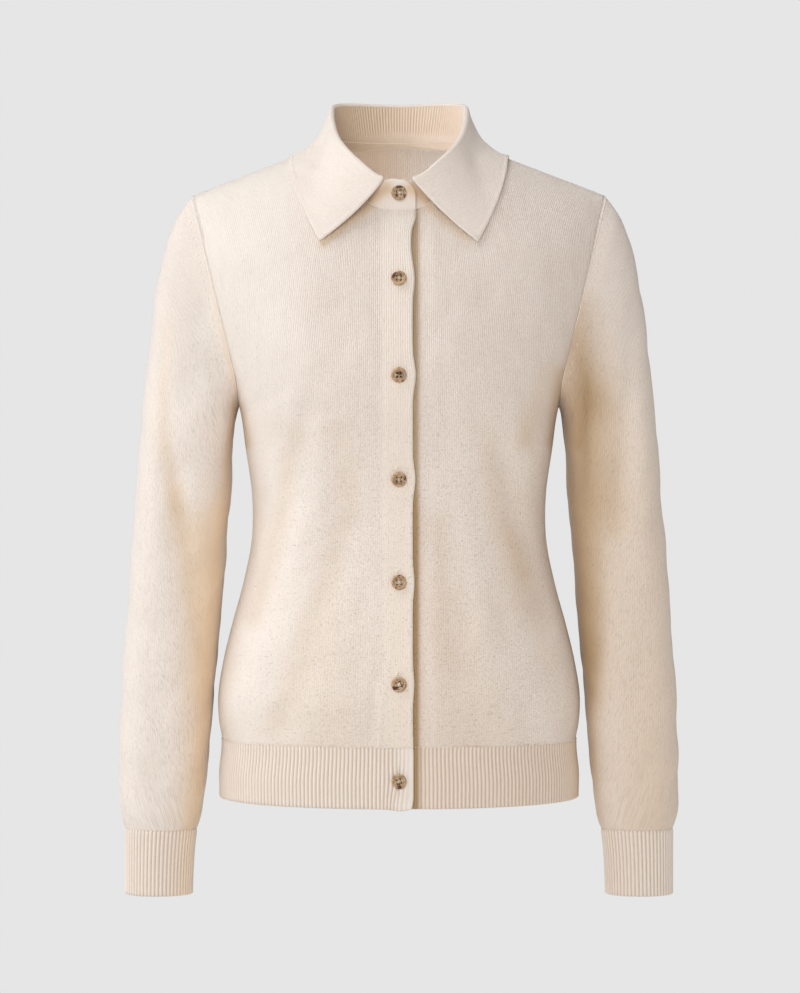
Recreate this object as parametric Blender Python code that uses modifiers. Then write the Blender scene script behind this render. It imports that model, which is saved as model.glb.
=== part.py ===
"""Button cardigan with a shirt collar, filled out as worn: fine plain knit with ribbed hem, cuffs and collar stand.

Lengths are in millimetres until a mesh is made. X runs to the wearer's left, -Y to the front and Z up, with the
origin between the two neck points of the shoulder seams, where the cardigan hangs on its wearer.
"""

import math

import bmesh
import bpy
import numpy as np

MM = 0.001

# Cloth
WALL = 1.6               # plain knit
RIB_WALL = 1.4           # ribbed knit between two ribs
RIB_RAISE = 0.8          # how far a rib stands above the groove beside it
SEAM_GAP = 0.3           # between two pieces that are sewn or linked together
NECK_GAP = 0.45          # under the collar stand, whose ribs cut the corners of the neckline
UNDERLAP_DEPTH = 3.1     # how far the left front lies behind the right one

# Shoulders, armholes and neck
NECK_X = 70.0            # neck point of the shoulder seam
TIP_X = 183.0            # shoulder point, at the top of the armhole
TIP_Z = -43.0
UNDERARM_X = 142.5
UNDERARM_Z = -231.0
SHOULDER_ROUND = 85.0    # height over which the body rounds over to the shoulder seam
ARMHOLE_SLANT = -0.2     # rise of the way across the armhole seam, and what the underarm adds to it
UNDERARM_SLANT = 0.38
PANEL_LEAN = 0.8         # share of the panel's own direction in the wall at the underarm
FRONT_NECK_Z = -63.0
NECK_TOP_ROUND = 25.0    # half width over which the shoulder line is rounded off across the neck
SECTION_ROUND = 2.4      # 2 gives an oval body section, more gives a squarer one

# Front opening
FRONT_EDGE = -12.0       # each front runs this far past the centre line
UNDERLAP_END = 17.0      # the left front comes level with the right one between these two distances
UNDERLAP_LEVEL = 32.0

# Ribbed welts
HEM_TOP = -528.0
HEM_BOTTOM = -580.0
CUFF_TOP = -607.0
CUFF_BOTTOM = -664.0
HEM_RIBS = {"front": 66, "back": 120}
CUFF_RIBS = 54
STAND_RIBS = 162
WELT_BACKING = 3         # ribs that share one face of the plain side behind them
STAND_BACKING = 2

# Collar
FOLD_RADIUS = 2.6        # visible side of the collar where it turns over
STAND_RISE = 0.3         # gap between the top of the stand and the leaf that it runs into
LEAF_START = {-1: 0.056, 1: 0.050}     # place on the fold line where each leaf begins
LEAF_LIFT = 3.2          # visible side of the leaf above the cloth under it
LEAF_FALL = {            # shares of the way out and of the drop at the two bends of a curved and of a straight leaf
    "curved": ((0.12, 0.45), (0.52, 0.93)),
    "straight": ((0.28, 0.35), (0.62, 0.69)),
}
STAND_END_ROUND = 11.0   # length and drop of the rounded end of the stand
STAND_END_DROP = 13.0

# Mesh density
BODY_ROWS = 13
ARM_ROWS = 10
SLEEVE_STATIONS = 19
LEAF_COLUMNS = 38

# Buttons
BUTTON_RADIUS = 6.5
BUTTON_HEIGHT = 2.8
BUTTON_HOLE = 0.85
BUTTON_HOLE_SPREAD = 1.55
BUTTON_HEIGHTS = (-47.5, -123.8, -207.3, -296.0, -385.0, -473.0, -556.5)


def smooth(key, keys, values):
    """Cubic through the rows of a table, flat beyond its ends."""
    slopes = np.gradient(values, keys)
    key = np.clip(key, keys[0], keys[-1])
    i = np.clip(np.searchsorted(keys, key) - 1, 0, len(keys) - 2)
    step = keys[i + 1] - keys[i]
    t = (key - keys[i]) / step
    start = (1 + 2 * t) * (1 - t) ** 2 * values[i] + t * (1 - t) ** 2 * step * slopes[i]
    end = t**2 * (3 - 2 * t) * values[i + 1] - t**2 * (1 - t) * step * slopes[i + 1]
    return start + end


class Table:
    """Rows of sizes under named columns; the first column is the key that the others are read by."""

    def __init__(self, columns, rows):
        self.columns = {name: np.array([row[i] for row in rows]) for i, name in enumerate(columns)}
        self.keys = self.columns[columns[0]]

    def at(self, column, key):
        return smooth(key, self.keys, self.columns[column])


# Body sections. Above the underarm the half width is that of the section the armhole cuts through.
TORSO = Table(
    ("height", "half_width", "front", "back"),
    (
        (-582.0, 159.0, 108.0, 108.0),
        (-560.0, 159.5, 107.5, 108.5),
        (-528.0, 157.5, 106.0, 107.0),
        (-514.0, 160.0, 108.0, 110.0),
        (-494.0, 161.3, 109.5, 112.0),
        (-457.0, 156.5, 107.0, 111.5),
        (-427.0, 149.5, 102.5, 107.0),
        (-386.0, 138.5, 95.0, 98.0),
        (-350.0, 131.5, 94.0, 91.0),
        (-311.0, 131.0, 96.0, 89.0),
        (-270.0, 136.5, 105.0, 92.0),
        (-231.0, 142.5, 115.0, 97.0),
        (-200.0, 153.0, 116.0, 101.0),
        (-150.0, 170.0, 106.0, 105.0),
        (-110.0, 180.5, 94.0, 105.5),
        (-76.0, 189.0, 79.0, 103.0),
        (-43.0, 196.0, 69.0, 100.0),
        (0.0, 201.0, 63.0, 97.0),
        (30.0, 203.0, 61.0, 96.0),
    ),
)

# Armhole seam, seen from the front
ARMHOLE = Table(
    ("height", "side"),
    (
        (-231.0, 142.5),
        (-212.0, 142.8),
        (-187.0, 148.0),
        (-149.0, 157.0),
        (-112.0, 166.0),
        (-76.0, 174.5),
        (-43.0, 183.0),
    ),
)

# Columns of a front and of half the back: their places across the hem, as shares of the width from the front edge
# or the centre back, and their distances from the centre at the neckline and the shoulder seam
FRONT_COLUMNS = Table(
    ("hem", "top"),
    (
        (0.0, -12.0),
        (0.149, 17.0),
        (0.226, 32.0),
        (0.36, 46.0),
        (0.50, 57.0),
        (0.63, 65.0),
        (0.74, 70.0),
        (0.83, 100.0),
        (0.905, 128.0),
        (0.96, 152.0),
        (0.99, 170.0),
        (1.0, 183.0),
    ),
)
BACK_COLUMNS = Table(
    ("hem", "top"),
    (
        (0.0, 0.0),
        (0.15, 20.0),
        (0.30, 40.0),
        (0.44, 54.0),
        (0.57, 65.0),
        (0.69, 70.0),
        (0.79, 100.0),
        (0.875, 128.0),
        (0.94, 152.0),
        (0.985, 170.0),
        (1.0, 183.0),
    ),
)

# Necklines: height at a distance from the centre
FRONT_NECK = Table(
    ("side", "height"),
    (
        (-12.0, -62.0),
        (0.0, FRONT_NECK_Z),
        (12.0, -62.0),
        (25.0, -57.0),
        (40.0, -42.0),
        (50.0, -29.0),
        (60.0, -14.0),
        (65.0, -6.5),
        (70.0, 0.0),
    ),
)
BACK_NECK = Table(
    ("side", "height"),
    ((-20.0, 4.9), (0.0, 7.0), (20.0, 4.9), (40.0, 1.5), (55.0, 0.3), (65.0, 0.0), (70.0, 0.0)),
)

# Sleeve rings from the armhole to the top of the cuff: the ends of each ring that lie over and under the arm,
# half its depth from front to back, how far it is set forward, and how far it has left the armhole's shape
SLEEVE = Table(
    ("station", "over_x", "over_z", "under_x", "under_z", "depth", "forward", "freed"),
    (
        (0.0, 183.0, -43.0, 142.5, -231.0, 49.0, 0.0, 0.0),
        (1.0, 197.5, -63.0, 144.3, -237.0, 50.0, 0.0, 0.30),
        (2.0, 209.0, -98.0, 145.4, -244.0, 51.5, 0.0, 0.58),
        (3.0, 217.0, -142.0, 146.3, -252.0, 53.0, 0.0, 0.80),
        (4.0, 223.5, -198.0, 147.2, -264.0, 54.0, 0.0, 0.94),
        (5.0, 228.5, -250.0, 148.7, -284.0, 54.0, 0.5, 1.0),
        (6.0, 232.0, -300.0, 151.0, -318.0, 52.5, 1.5, 1.0),
        (7.0, 236.0, -350.0, 153.8, -357.0, 50.5, 3.0, 1.0),
        (8.0, 239.5, -398.0, 157.0, -400.0, 48.0, 5.0, 1.0),
        (9.0, 242.7, -446.0, 160.8, -446.0, 45.0, 8.0, 1.0),
        (10.0, 245.2, -492.0, 164.4, -492.0, 42.0, 11.0, 1.0),
        (11.0, 246.8, -536.0, 168.2, -536.0, 38.5, 14.5, 1.0),
        (12.0, 247.0, -572.0, 171.7, -572.0, 34.5, 17.0, 1.0),
        (13.0, 245.6, -594.0, 174.8, -594.0, 30.5, 18.5, 1.0),
        (14.0, 242.3, -606.85, 178.3, -606.85, 27.8, 19.0, 1.0),
    ),
)

CUFF = Table(
    ("height", "over_x", "under_x", "depth", "forward"),
    (
        (-664.0, 241.8, 182.6, 26.3, 21.0),
        (-645.0, 241.9, 182.0, 26.4, 20.3),
        (-625.0, 242.0, 180.8, 26.8, 19.6),
        (-607.0, 242.2, 178.8, 27.6, 19.0),
    ),
)

# Line on which the collar turns over, seen on its neck side: from just past the centre front to past the centre back
FOLD = Table(
    ("part", "side", "forward", "up"),
    (
        (-0.065, -15.0, 78.5, -38.5),
        (0.0, 0.0, 79.0, -37.0),
        (0.065, 15.0, 77.5, -33.0),
        (0.160, 30.0, 70.5, -19.0),
        (0.253, 41.5, 58.0, -5.0),
        (0.360, 49.5, 38.0, 9.0),
        (0.460, 54.0, 17.0, 20.5),
        (0.600, 57.0, -11.0, 33.0),
        (0.700, 56.5, -32.0, 41.0),
        (0.830, 42.0, -53.0, 45.5),
        (1.0, 0.0, -64.0, 46.0),
        (1.170, -42.0, -53.0, 45.5),
    ),
)

# Outer edge of the collar leaf, and how straight the leaf falls from the fold line to it
LEAF_EDGE = Table(
    ("part", "side", "forward", "up", "straight"),
    (
        (0.050, 68.5, 87.0, -89.5, 1.0),
        (0.20, 79.0, 76.0, -69.0, 0.8),
        (0.33, 87.0, 62.0, -50.0, 0.5),
        (0.46, 92.5, 46.0, -32.0, 0.2),
        (0.60, 96.5, 14.0, -9.5, 0.0),
        (0.70, 96.0, -20.0, -11.0, 0.0),
        (0.82, 80.0, -52.0, -18.0, 0.0),
        (0.92, 45.0, -79.0, -23.0, 0.0),
        (1.0, 0.0, -91.0, -25.0, 0.0),
        (1.08, -45.0, -79.0, -23.0, 0.0),
    ),
)

# Soft folds of the body: a trough between two points of the front (-1) or back (1), on both halves
BODY_FOLDS = (
    {"side": -1, "from": (84.0, -300.0), "to": (128.0, -412.0), "width": 17.0, "depth": 4.0},
    {"side": -1, "from": (118.0, -236.0), "to": (98.0, -292.0), "width": 15.0, "depth": 3.0},
    {"side": 1, "from": (62.0, -292.0), "to": (112.0, -408.0), "width": 20.0, "depth": 4.5},
    {"side": 1, "from": (120.0, -240.0), "to": (88.0, -300.0), "width": 17.0, "depth": 3.5},
)

# Soft folds of a sleeve: a trough that turns round the arm between two heights, angles from over the arm to the front
SLEEVE_FOLDS = (
    {"heights": (-150.0, -300.0), "angles": (42.0, 84.0), "width": 17.0, "depth": 3.5},
    {"heights": (-330.0, -470.0), "angles": (92.0, 122.0), "width": 18.0, "depth": 3.5},
    {"heights": (-170.0, -330.0), "angles": (318.0, 272.0), "width": 18.0, "depth": 3.5},
    {"heights": (-350.0, -480.0), "angles": (262.0, 236.0), "width": 18.0, "depth": 3.0},
)


def unit(vectors):
    return vectors / np.linalg.norm(vectors, axis=-1, keepdims=True)


def ramp(value, start, end):
    """0 at start, 1 at end, and soft at both."""
    t = np.clip((value - start) / (end - start), 0.0, 1.0)
    return t * t * (3.0 - 2.0 * t)


def along(points):
    """Distance along a line of points."""
    steps = np.linalg.norm(np.diff(points, axis=0), axis=-1)
    return np.concatenate(([0.0], np.cumsum(steps)))


# Body ------------------------------------------------------------------------------------------------------------


def shoulder_line(x):
    """Height of the shoulder seam, carried on over the neck hole with a round top."""
    out = np.abs(x)
    out = np.where(out < NECK_TOP_ROUND, (out**2 / NECK_TOP_ROUND + NECK_TOP_ROUND) / 2, out)
    return TIP_Z * (out - NECK_X) / (TIP_X - NECK_X)


def body_folds(side, x, z):
    inward = np.zeros(np.broadcast(x, z).shape)
    for fold in BODY_FOLDS:
        if fold["side"] != side:
            continue
        (x0, z0), (x1, z1) = fold["from"], fold["to"]
        length_sq = (x1 - x0) ** 2 + (z1 - z0) ** 2
        t = np.clip(((np.abs(x) - x0) * (x1 - x0) + (z - z0) * (z1 - z0)) / length_sq, 0.0, 1.0)
        away_sq = (np.abs(x) - x0 - t * (x1 - x0)) ** 2 + (z - z0 - t * (z1 - z0)) ** 2
        inward = inward + fold["depth"] * np.exp(-away_sq / fold["width"] ** 2)
    return inward


def body_depth(side, x, z):
    """Distance of the front (side -1) or back (side 1) from the plane of the side seams."""
    depth = TORSO.at("front" if side < 0 else "back", z) - body_folds(side, x, z)
    across = np.clip(np.abs(x) / TORSO.at("half_width", z), 0.0, 1.0)
    around = (1.0 - across**SECTION_ROUND) ** (1.0 / SECTION_ROUND)
    below = np.clip((shoulder_line(x) - z) / SHOULDER_ROUND, 0.0, 1.0)
    over = np.sqrt(1.0 - (1.0 - below) ** 2)
    return np.maximum(depth * around * over, SEAM_GAP / 2)


def body_normal(side, x, z):
    """Outward direction of the front or back."""
    d = 0.25
    across = (body_depth(side, x + d, z) - body_depth(side, x - d, z)) / (2 * d)
    up = (body_depth(side, x, z + d) - body_depth(side, x, z - d)) / (2 * d)
    return unit(np.stack((-across, side * np.ones_like(up), -up), axis=-1))


def side_x(z):
    """Half width at a height: to the side seam, and above the underarm to the armhole."""
    return np.where(z < UNDERARM_Z, TORSO.at("half_width", z), ARMHOLE.at("side", z))


def arm_heights():
    """Heights round the armhole from the underarm to the shoulder point."""
    angle = np.linspace(math.pi, 0.0, ARM_ROWS + 1)
    return (TIP_Z + UNDERARM_Z) / 2 + (TIP_Z - UNDERARM_Z) / 2 * np.cos(angle)


def armhole_frame(side):
    """Points of the armhole seam from the underarm up, the way across the seam, and the way in through the wall."""
    z = arm_heights()
    x = ARMHOLE.at("side", z)
    points = np.stack((x, side * body_depth(side, x, z), z), axis=-1)
    mirrored = points[1:2] * (1, -1, 1)
    loop = np.concatenate((mirrored, points, points[-2:-1] * (1, -1, 1)))
    run = unit(loop[2:] - loop[:-2])
    lowness = lowness_at(z)
    slant = ARMHOLE_SLANT + UNDERARM_SLANT * lowness**1.5
    across = unit(np.stack((np.ones_like(z), np.zeros_like(z), slant), axis=-1))
    inward = unit(np.cross(run, across)) * -side
    return points, across, inward


def lowness_at(z):
    """1 at the underarm, falling off fast up the armhole."""
    return ((TIP_Z - z) / (TIP_Z - UNDERARM_Z)) ** 4


def top_height(side, x):
    """Height of the neckline or shoulder seam at a distance from the centre."""
    neckline = FRONT_NECK if side < 0 else BACK_NECK
    return np.where(np.abs(x) < NECK_X, neckline.at("height", np.abs(x)), shoulder_line(x))


def panel(side, hand, start, low_places, top_distances, underlap=0.0):
    """Outer and inner points of a body panel, rows from the hem up and columns out to the side seam.

    A column runs from its place across the hem, as a share of the width, to its distance from the centre at the top.
    """
    seam_rows = np.linspace(HEM_TOP + SEAM_GAP / 2, UNDERARM_Z, BODY_ROWS + 1)[:-1]
    edge_heights = np.concatenate((seam_rows, arm_heights()))
    rise = ((edge_heights - edge_heights[0]) / (TIP_Z - edge_heights[0]))[:, None]
    top_places = (top_distances - start) / (TIP_X - start)
    columns = low_places + ramp(rise, 0.5, 1.0) * (top_places - low_places)
    z = edge_heights[0] + rise * (top_height(side, top_distances) - edge_heights[0])
    seam = np.abs(low_places) == 1
    z[:, seam] = edge_heights[:, None]
    x = start + columns * (side_x(z) - start)
    x[-1] = top_distances
    y = side * body_depth(side, x, z)
    normal = body_normal(side, x, z)
    way = np.where(x < 0, -1.0, 1.0)
    slope = side_x(z + 0.5) - side_x(z - 0.5)
    normal[:, seam] = unit(np.stack((way, 0 * x, -slope), axis=-1))[:, seam]
    shoulder = np.abs(x[-1]) >= NECK_X - 0.01
    fall = -TIP_Z / (TIP_X - NECK_X)
    normal[-1, shoulder] = unit(np.stack((fall * way[-1], 0 * x[-1], 1 + 0 * x[-1]), axis=-1))[shoulder]
    normal[0, :, 2] = 0.0
    normal = unit(normal)
    outer = np.stack((x, y, z), axis=-1)
    outer[..., 1] -= side * underlap * (1.0 - ramp(x, UNDERLAP_END, UNDERLAP_LEVEL))
    inner = outer - WALL * normal
    points, across, inward = armhole_frame(side)
    for column in np.flatnonzero(seam):
        flip = np.array((low_places[column], 1.0, 1.0))
        outer[BODY_ROWS:, column] = (points - across * SEAM_GAP / 2) * flip
        lean = PANEL_LEAN * lowness_at(points[:, 2:]) * normal[BODY_ROWS:, column] * flip
        inner[BODY_ROWS:, column] = outer[BODY_ROWS:, column] + WALL * unit(inward - lean) * flip
    inner[..., 1] = side * np.maximum(side * inner[..., 1], SEAM_GAP / 2)
    outer[..., 1] = side * np.maximum(side * outer[..., 1], SEAM_GAP / 2)
    turn = np.array((hand, 1.0, 1.0))
    return outer * turn, inner * turn


# Hem -------------------------------------------------------------------------------------------------------------


def even_places(side, start, z, count):
    """Places across a body section with equal lengths of cloth between them."""
    columns = np.linspace(-1.0 if side > 0 else 0.0, 1.0, 2001)
    x = start + columns * (side_x(z) - start)
    length = along(np.stack((x, body_depth(side, x, z)), axis=-1))
    return np.interp(np.linspace(0.0, length[-1], count + 1), length, columns)


def hem_row(side, hand, start, columns, z, lift, underlap):
    """One row of a hem's points at a height, lifted off the section."""
    x = start + columns * (side_x(z) - start)
    normal = body_normal(side, x, z + 0 * x)
    normal[..., 2] = 0.0
    normal[np.abs(columns) == 1] = (1.0, 0.0, 0.0)
    normal[columns == -1] = (-1.0, 0.0, 0.0)
    row = np.stack((x, side * body_depth(side, x, z), z + 0 * x), axis=-1)
    row[:, 1] -= side * underlap * (1.0 - ramp(x, UNDERLAP_END, UNDERLAP_LEVEL))
    row += unit(normal) * np.asarray(lift)[..., None]
    row[:, 1] = side * np.maximum(side * row[:, 1], SEAM_GAP / 2)
    return row * (hand, 1.0, 1.0)


def hem(side, hand, start, ribs, underlap=0.0):
    """Ribbed and plain points of a hem welt."""
    heights = (HEM_BOTTOM, HEM_TOP - SEAM_GAP / 2)
    places = even_places(side, start, (HEM_BOTTOM + HEM_TOP) / 2, 2 * ribs)
    lift = np.where(np.arange(2 * ribs + 1) % 2, RIB_RAISE / 2, -RIB_RAISE / 2)
    plain = places[:: 2 * WELT_BACKING]
    back = -RIB_RAISE / 2 - RIB_WALL
    ribbed_rows = [hem_row(side, hand, start, places, z, lift, underlap) for z in heights]
    plain_rows = [hem_row(side, hand, start, plain, z, back, underlap) for z in heights]
    return np.array(ribbed_rows), np.array(plain_rows)


# Sleeves ---------------------------------------------------------------------------------------------------------


def sleeve_point(station, angle):
    """Sleeve surface: angle 0 lies over the arm, a quarter turn is its front and a half turn lies under it."""
    over_x, over_z = SLEEVE.at("over_x", station), SLEEVE.at("over_z", station)
    under_x, under_z = SLEEVE.at("under_x", station), SLEEVE.at("under_z", station)
    freed = SLEEVE.at("freed", station)
    share = (1.0 + np.cos(angle)) / 2
    arm_z = UNDERARM_Z + share * (TIP_Z - UNDERARM_Z)
    arm_x = ARMHOLE.at("side", arm_z)
    off_chord = arm_x - (UNDERARM_X + share * (TIP_X - UNDERARM_X))
    arm_front = body_depth(-1, arm_x, arm_z)
    arm_back = body_depth(1, arm_x, arm_z)
    arm_y = np.where(np.sin(angle) > 0, -arm_front, arm_back)
    oval_y = -SLEEVE.at("forward", station) - SLEEVE.at("depth", station) * np.sin(angle)
    x = under_x + share * (over_x - under_x) + (1.0 - freed) * off_chord
    y = (1.0 - freed) * arm_y + freed * oval_y
    z = under_z + share * (over_z - under_z)
    return np.stack((x, y, z + 0 * y), axis=-1)


def sleeve_folds(z, angle):
    inward = np.zeros_like(z)
    degrees = np.degrees(angle) % 360.0
    for fold in SLEEVE_FOLDS:
        (top, bottom), (first, last) = fold["heights"], fold["angles"]
        t = (z - top) / (bottom - top)
        middle = first + np.clip(t, 0.0, 1.0) * (last - first)
        ends = ramp(t, -0.15, 0.2) * (1.0 - ramp(t, 0.8, 1.15))
        inward = inward + fold["depth"] * ends * np.exp(-(((degrees - middle) / fold["width"]) ** 2))
    return inward


def sleeve(hand):
    """Outer and inner points of a sleeve, a row for each ring."""
    station = np.linspace(0.0, SLEEVE.keys[-1], SLEEVE_STATIONS)[:, None]
    angle = (np.arange(2 * ARM_ROWS) * math.pi / ARM_ROWS)[None, :]
    station, angle = np.broadcast_arrays(station, angle)
    d = 0.01
    down = sleeve_point(station + d, angle) - sleeve_point(station - d, angle)
    round_arm = sleeve_point(station, angle + d) - sleeve_point(station, angle - d)
    normal = unit(np.cross(round_arm, down))
    over, under = (np.stack([SLEEVE.at(f"{end}_{axis}", station) for axis in "xz"], -1) for end in ("over", "under"))
    reach = over - under
    ring_axis = unit(np.stack((reach[..., 1], 0 * angle, -reach[..., 0]), axis=-1))
    inward = unit(unit(np.cross(ring_axis, round_arm)) - normal)
    outer = sleeve_point(station, angle)
    outer = outer - normal * sleeve_folds(outer[..., 2], angle)[..., None]
    inner = outer + WALL * inward
    inner[-1, :, 2] = outer[-1, :, 2]
    for side in (-1, 1):
        points, across, way_in = armhole_frame(side)
        ring = np.arange(ARM_ROWS, -1, -1) if side < 0 else np.arange(ARM_ROWS, 2 * ARM_ROWS + 1) % (2 * ARM_ROWS)
        points[[0, -1], 1] = 0.0
        lean = lowness_at(points[:, 2:]) * normal[1, ring]
        outer[0, ring] = points + across * SEAM_GAP / 2
        inner[0, ring] = outer[0, ring] + WALL * unit(way_in - lean)
    turn = np.array((hand, 1.0, 1.0))
    return outer * turn, inner * turn


def cuff_row(hand, z, angle, lift):
    over_x, under_x = CUFF.at("over_x", z), CUFF.at("under_x", z)
    wide, deep = (over_x - under_x) / 2, CUFF.at("depth", z)
    normal = unit(np.stack((np.cos(angle) / wide, -np.sin(angle) / deep, 0 * angle), axis=-1))
    x = (over_x + under_x) / 2 + wide * np.cos(angle)
    y = -CUFF.at("forward", z) - deep * np.sin(angle)
    row = np.stack((x, y, z + 0 * x), axis=-1) + normal * np.asarray(lift)[..., None]
    return row * (hand, 1.0, 1.0)


def cuff(hand):
    """Ribbed and plain points of a cuff, which is a closed ring."""
    angle = np.arange(2 * CUFF_RIBS) * math.pi / CUFF_RIBS
    lift = np.where(np.arange(2 * CUFF_RIBS) % 2, RIB_RAISE / 2, -RIB_RAISE / 2)
    heights = (CUFF_BOTTOM, CUFF_TOP - SEAM_GAP / 2)
    back = -RIB_RAISE / 2 - RIB_WALL
    ribbed_rows = [cuff_row(hand, z, angle, lift) for z in heights]
    plain_rows = [cuff_row(hand, z, angle[:: 2 * WELT_BACKING], back) for z in heights]
    return np.array(ribbed_rows), np.array(plain_rows)


# Collar ----------------------------------------------------------------------------------------------------------


def fold_line(hand, part):
    """Point of the line on which the collar turns over, and the level way out from the neck there."""
    d = 0.004

    def place(at):
        side, forward = FOLD.at("side", at), FOLD.at("forward", at)
        return np.stack((hand * side, -forward, FOLD.at("up", at)), axis=-1)

    run = place(part + d) - place(part - d)
    out = unit(np.stack((-run[..., 1], run[..., 0], 0 * part), axis=-1)) * -np.asarray(hand)[..., None]
    return place(part), out


def neck_seam(right, back, left):
    """The neckline of the three body panels as one line of outer and one of inner points, with a gap above it."""
    lines = []
    for layer in (0, 1):
        right_top = right[layer][-1]
        left_top = left[layer][-1]
        back_top = back[layer][-1]
        right_part = right_top[np.abs(right_top[:, 0]) < NECK_X + WALL]
        left_part = left_top[np.abs(left_top[:, 0]) < NECK_X + WALL][::-1]
        back_part = back_top[np.abs(back_top[:, 0]) < NECK_X + WALL]
        lines.append(np.concatenate((right_part, back_part, left_part)))
    outer, inner = lines
    run = unit(np.gradient(outer, axis=0))
    lift = unit(np.cross(run, outer - inner))
    return outer + NECK_GAP * lift, inner + NECK_GAP * lift


def along_fold(line):
    """Distance along the neck seam, and how far along it lie the centre front, the centre back and the front again."""
    length = along(line)
    crossings = np.flatnonzero(np.diff(line[:, 0] >= 0))
    share = line[crossings, 0] / (line[crossings, 0] - line[crossings + 1, 0])
    first, middle, last = length[crossings] + share * (length[crossings + 1] - length[crossings])
    return length, first, middle, last


def stand(right, back, left):
    """Neck side (ribbed) and outward side (plain) of the collar stand, from the right front's end round to the left."""
    outer_line, inner_line = neck_seam(right, back, left)
    length, first, middle, last = along_fold(outer_line)
    place = np.linspace(0.0, length[-1], 2 * STAND_RIBS + 1)
    bottom_out = np.stack([np.interp(place, length, outer_line[:, i]) for i in range(3)], axis=-1)
    bottom_in = np.stack([np.interp(place, length, inner_line[:, i]) for i in range(3)], axis=-1)
    hand = np.where(place < middle, -1.0, 1.0)
    part = np.where(place < middle, (place - first) / (middle - first), (last - place) / (last - middle))
    top, out = fold_line(hand, part)
    leaf_start = np.where(place < middle, LEAF_START[-1], LEAF_START[1])
    top[:, 2] -= (FOLD_RADIUS + STAND_RISE) * ramp(part, leaf_start - 0.035, leaf_start - 0.005)
    at_front = (place > middle) & (top[:, 1] < 0)
    under = at_front * (1.0 - ramp(top[:, 0], UNDERLAP_END, UNDERLAP_LEVEL))
    top -= UNDERLAP_DEPTH * under[:, None] * out
    from_end = 1.0 - np.clip(place / STAND_END_ROUND, 0.0, 1.0)
    top[:, 2] -= STAND_END_DROP * (1.0 - np.sqrt(1.0 - from_end**2))
    raised = np.where(np.arange(len(place)) % 2, RIB_RAISE / 2, -RIB_RAISE / 2)[:, None]
    way_in = unit(unit(bottom_in - bottom_out) - out)
    neck_side = np.array((bottom_out + way_in * (WALL + raised), top - out * raised))
    outward = np.array((bottom_out, top + out * WALL))[:, :: 2 * STAND_BACKING]
    return neck_side, outward


def clear_of_body(points, distance, onto=False):
    """Points moved out from the body until they are that far from it; onto also moves them in."""
    points = points.copy()

    def inside(p):
        side = np.where(p[..., 1] < 0, -1, 1)
        x, y, z = p[..., 0], p[..., 1], p[..., 2]
        front, back = TORSO.at("front", z), TORSO.at("back", z)
        across = np.clip(np.abs(x) / TORSO.at("half_width", z), 0.0, 1.0)
        around = (1.0 - across**SECTION_ROUND) ** (1.0 / SECTION_ROUND)
        depth = np.where(side < 0, front, back) * around
        over = np.maximum(1.0 + (z - shoulder_line(x)) / SHOULDER_ROUND, 0.0)
        return np.hypot(y / depth, over) - 1.0

    for _ in range(6):
        here = inside(points)
        d = 0.2
        slope = np.stack([inside(points + step) - here for step in np.eye(3) * d], axis=-1) / d
        size = np.linalg.norm(slope, axis=-1, keepdims=True)
        lack = distance - here[..., None] / size
        points += (lack if onto else np.maximum(lack, 0.0)) * slope / size
    return points


def leaf():
    """Visible side and underside of the collar leaf, from the fold line down and from the right tip to the left one."""
    half = LEAF_COLUMNS // 2
    spread = np.linspace(0.0, 1.0, half + 1)
    part = np.concatenate([
        LEAF_START[-1] + spread * (1.0 - LEAF_START[-1]),
        (LEAF_START[1] + spread * (1.0 - LEAF_START[1]))[::-1][1:],
    ])
    hand = np.concatenate((-np.ones(half + 1), np.ones(half)))
    fold, out = fold_line(hand, part)
    up = np.array((0.0, 0.0, 1.0))
    centre = fold + FOLD_RADIUS * (out - up)
    edge = np.stack((hand * LEAF_EDGE.at("side", part), -LEAF_EDGE.at("forward", part), LEAF_EDGE.at("up", part)), -1)
    edge = clear_of_body(edge, LEAF_LIFT, onto=True)
    straight = LEAF_EDGE.at("straight", part)[:, None]
    rows, normals = [], []
    for degrees in (180.0, 135.0, 90.0, 45.0):
        way = math.cos(math.radians(degrees)) * out + math.sin(math.radians(degrees)) * up
        rows.append(centre + FOLD_RADIUS * way)
        normals.append(way)
    start = centre + FOLD_RADIUS * out
    fall = edge - start
    bends = []
    for curved, flat in zip(LEAF_FALL["curved"], LEAF_FALL["straight"]):
        out_share, drop_share = (c + straight * (f - c) for c, f in zip(curved, flat))
        bends.append(start + fall * np.concatenate((out_share, out_share, drop_share), axis=-1))
    first, second = bends
    for t in np.linspace(0.0, 1.0, 7):
        curve = (1 - t) ** 3 * start + 3 * t * (1 - t) ** 2 * first + 3 * t**2 * (1 - t) * second + t**3 * edge
        rows.append(clear_of_body(curve, LEAF_LIFT) if t > 0 else curve)
    visible = np.array(rows)
    across = np.gradient(visible, axis=1)
    down = np.gradient(visible, axis=0)
    normal = unit(np.cross(across, down))
    normal[:4] = np.array(normals)
    return visible, visible - WALL * normal


# Meshes ----------------------------------------------------------------------------------------------------------


def closed_object(name, points, faces, material, collection, parent):
    """Object from points in millimetres, with its faces turned outward."""
    mesh = bpy.data.meshes.new(name)
    mesh.from_pydata((np.asarray(points) * MM).tolist(), [], faces)
    work = bmesh.new()
    work.from_mesh(mesh)
    bmesh.ops.recalc_face_normals(work, faces=work.faces)
    work.to_mesh(mesh)
    work.free()
    mesh.shade_smooth()
    mesh.set_sharp_from_angle(angle=math.radians(50))
    mesh.materials.append(material)
    obj = bpy.data.objects.new(name, mesh)
    obj.parent = parent
    collection.objects.link(obj)
    return obj


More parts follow.
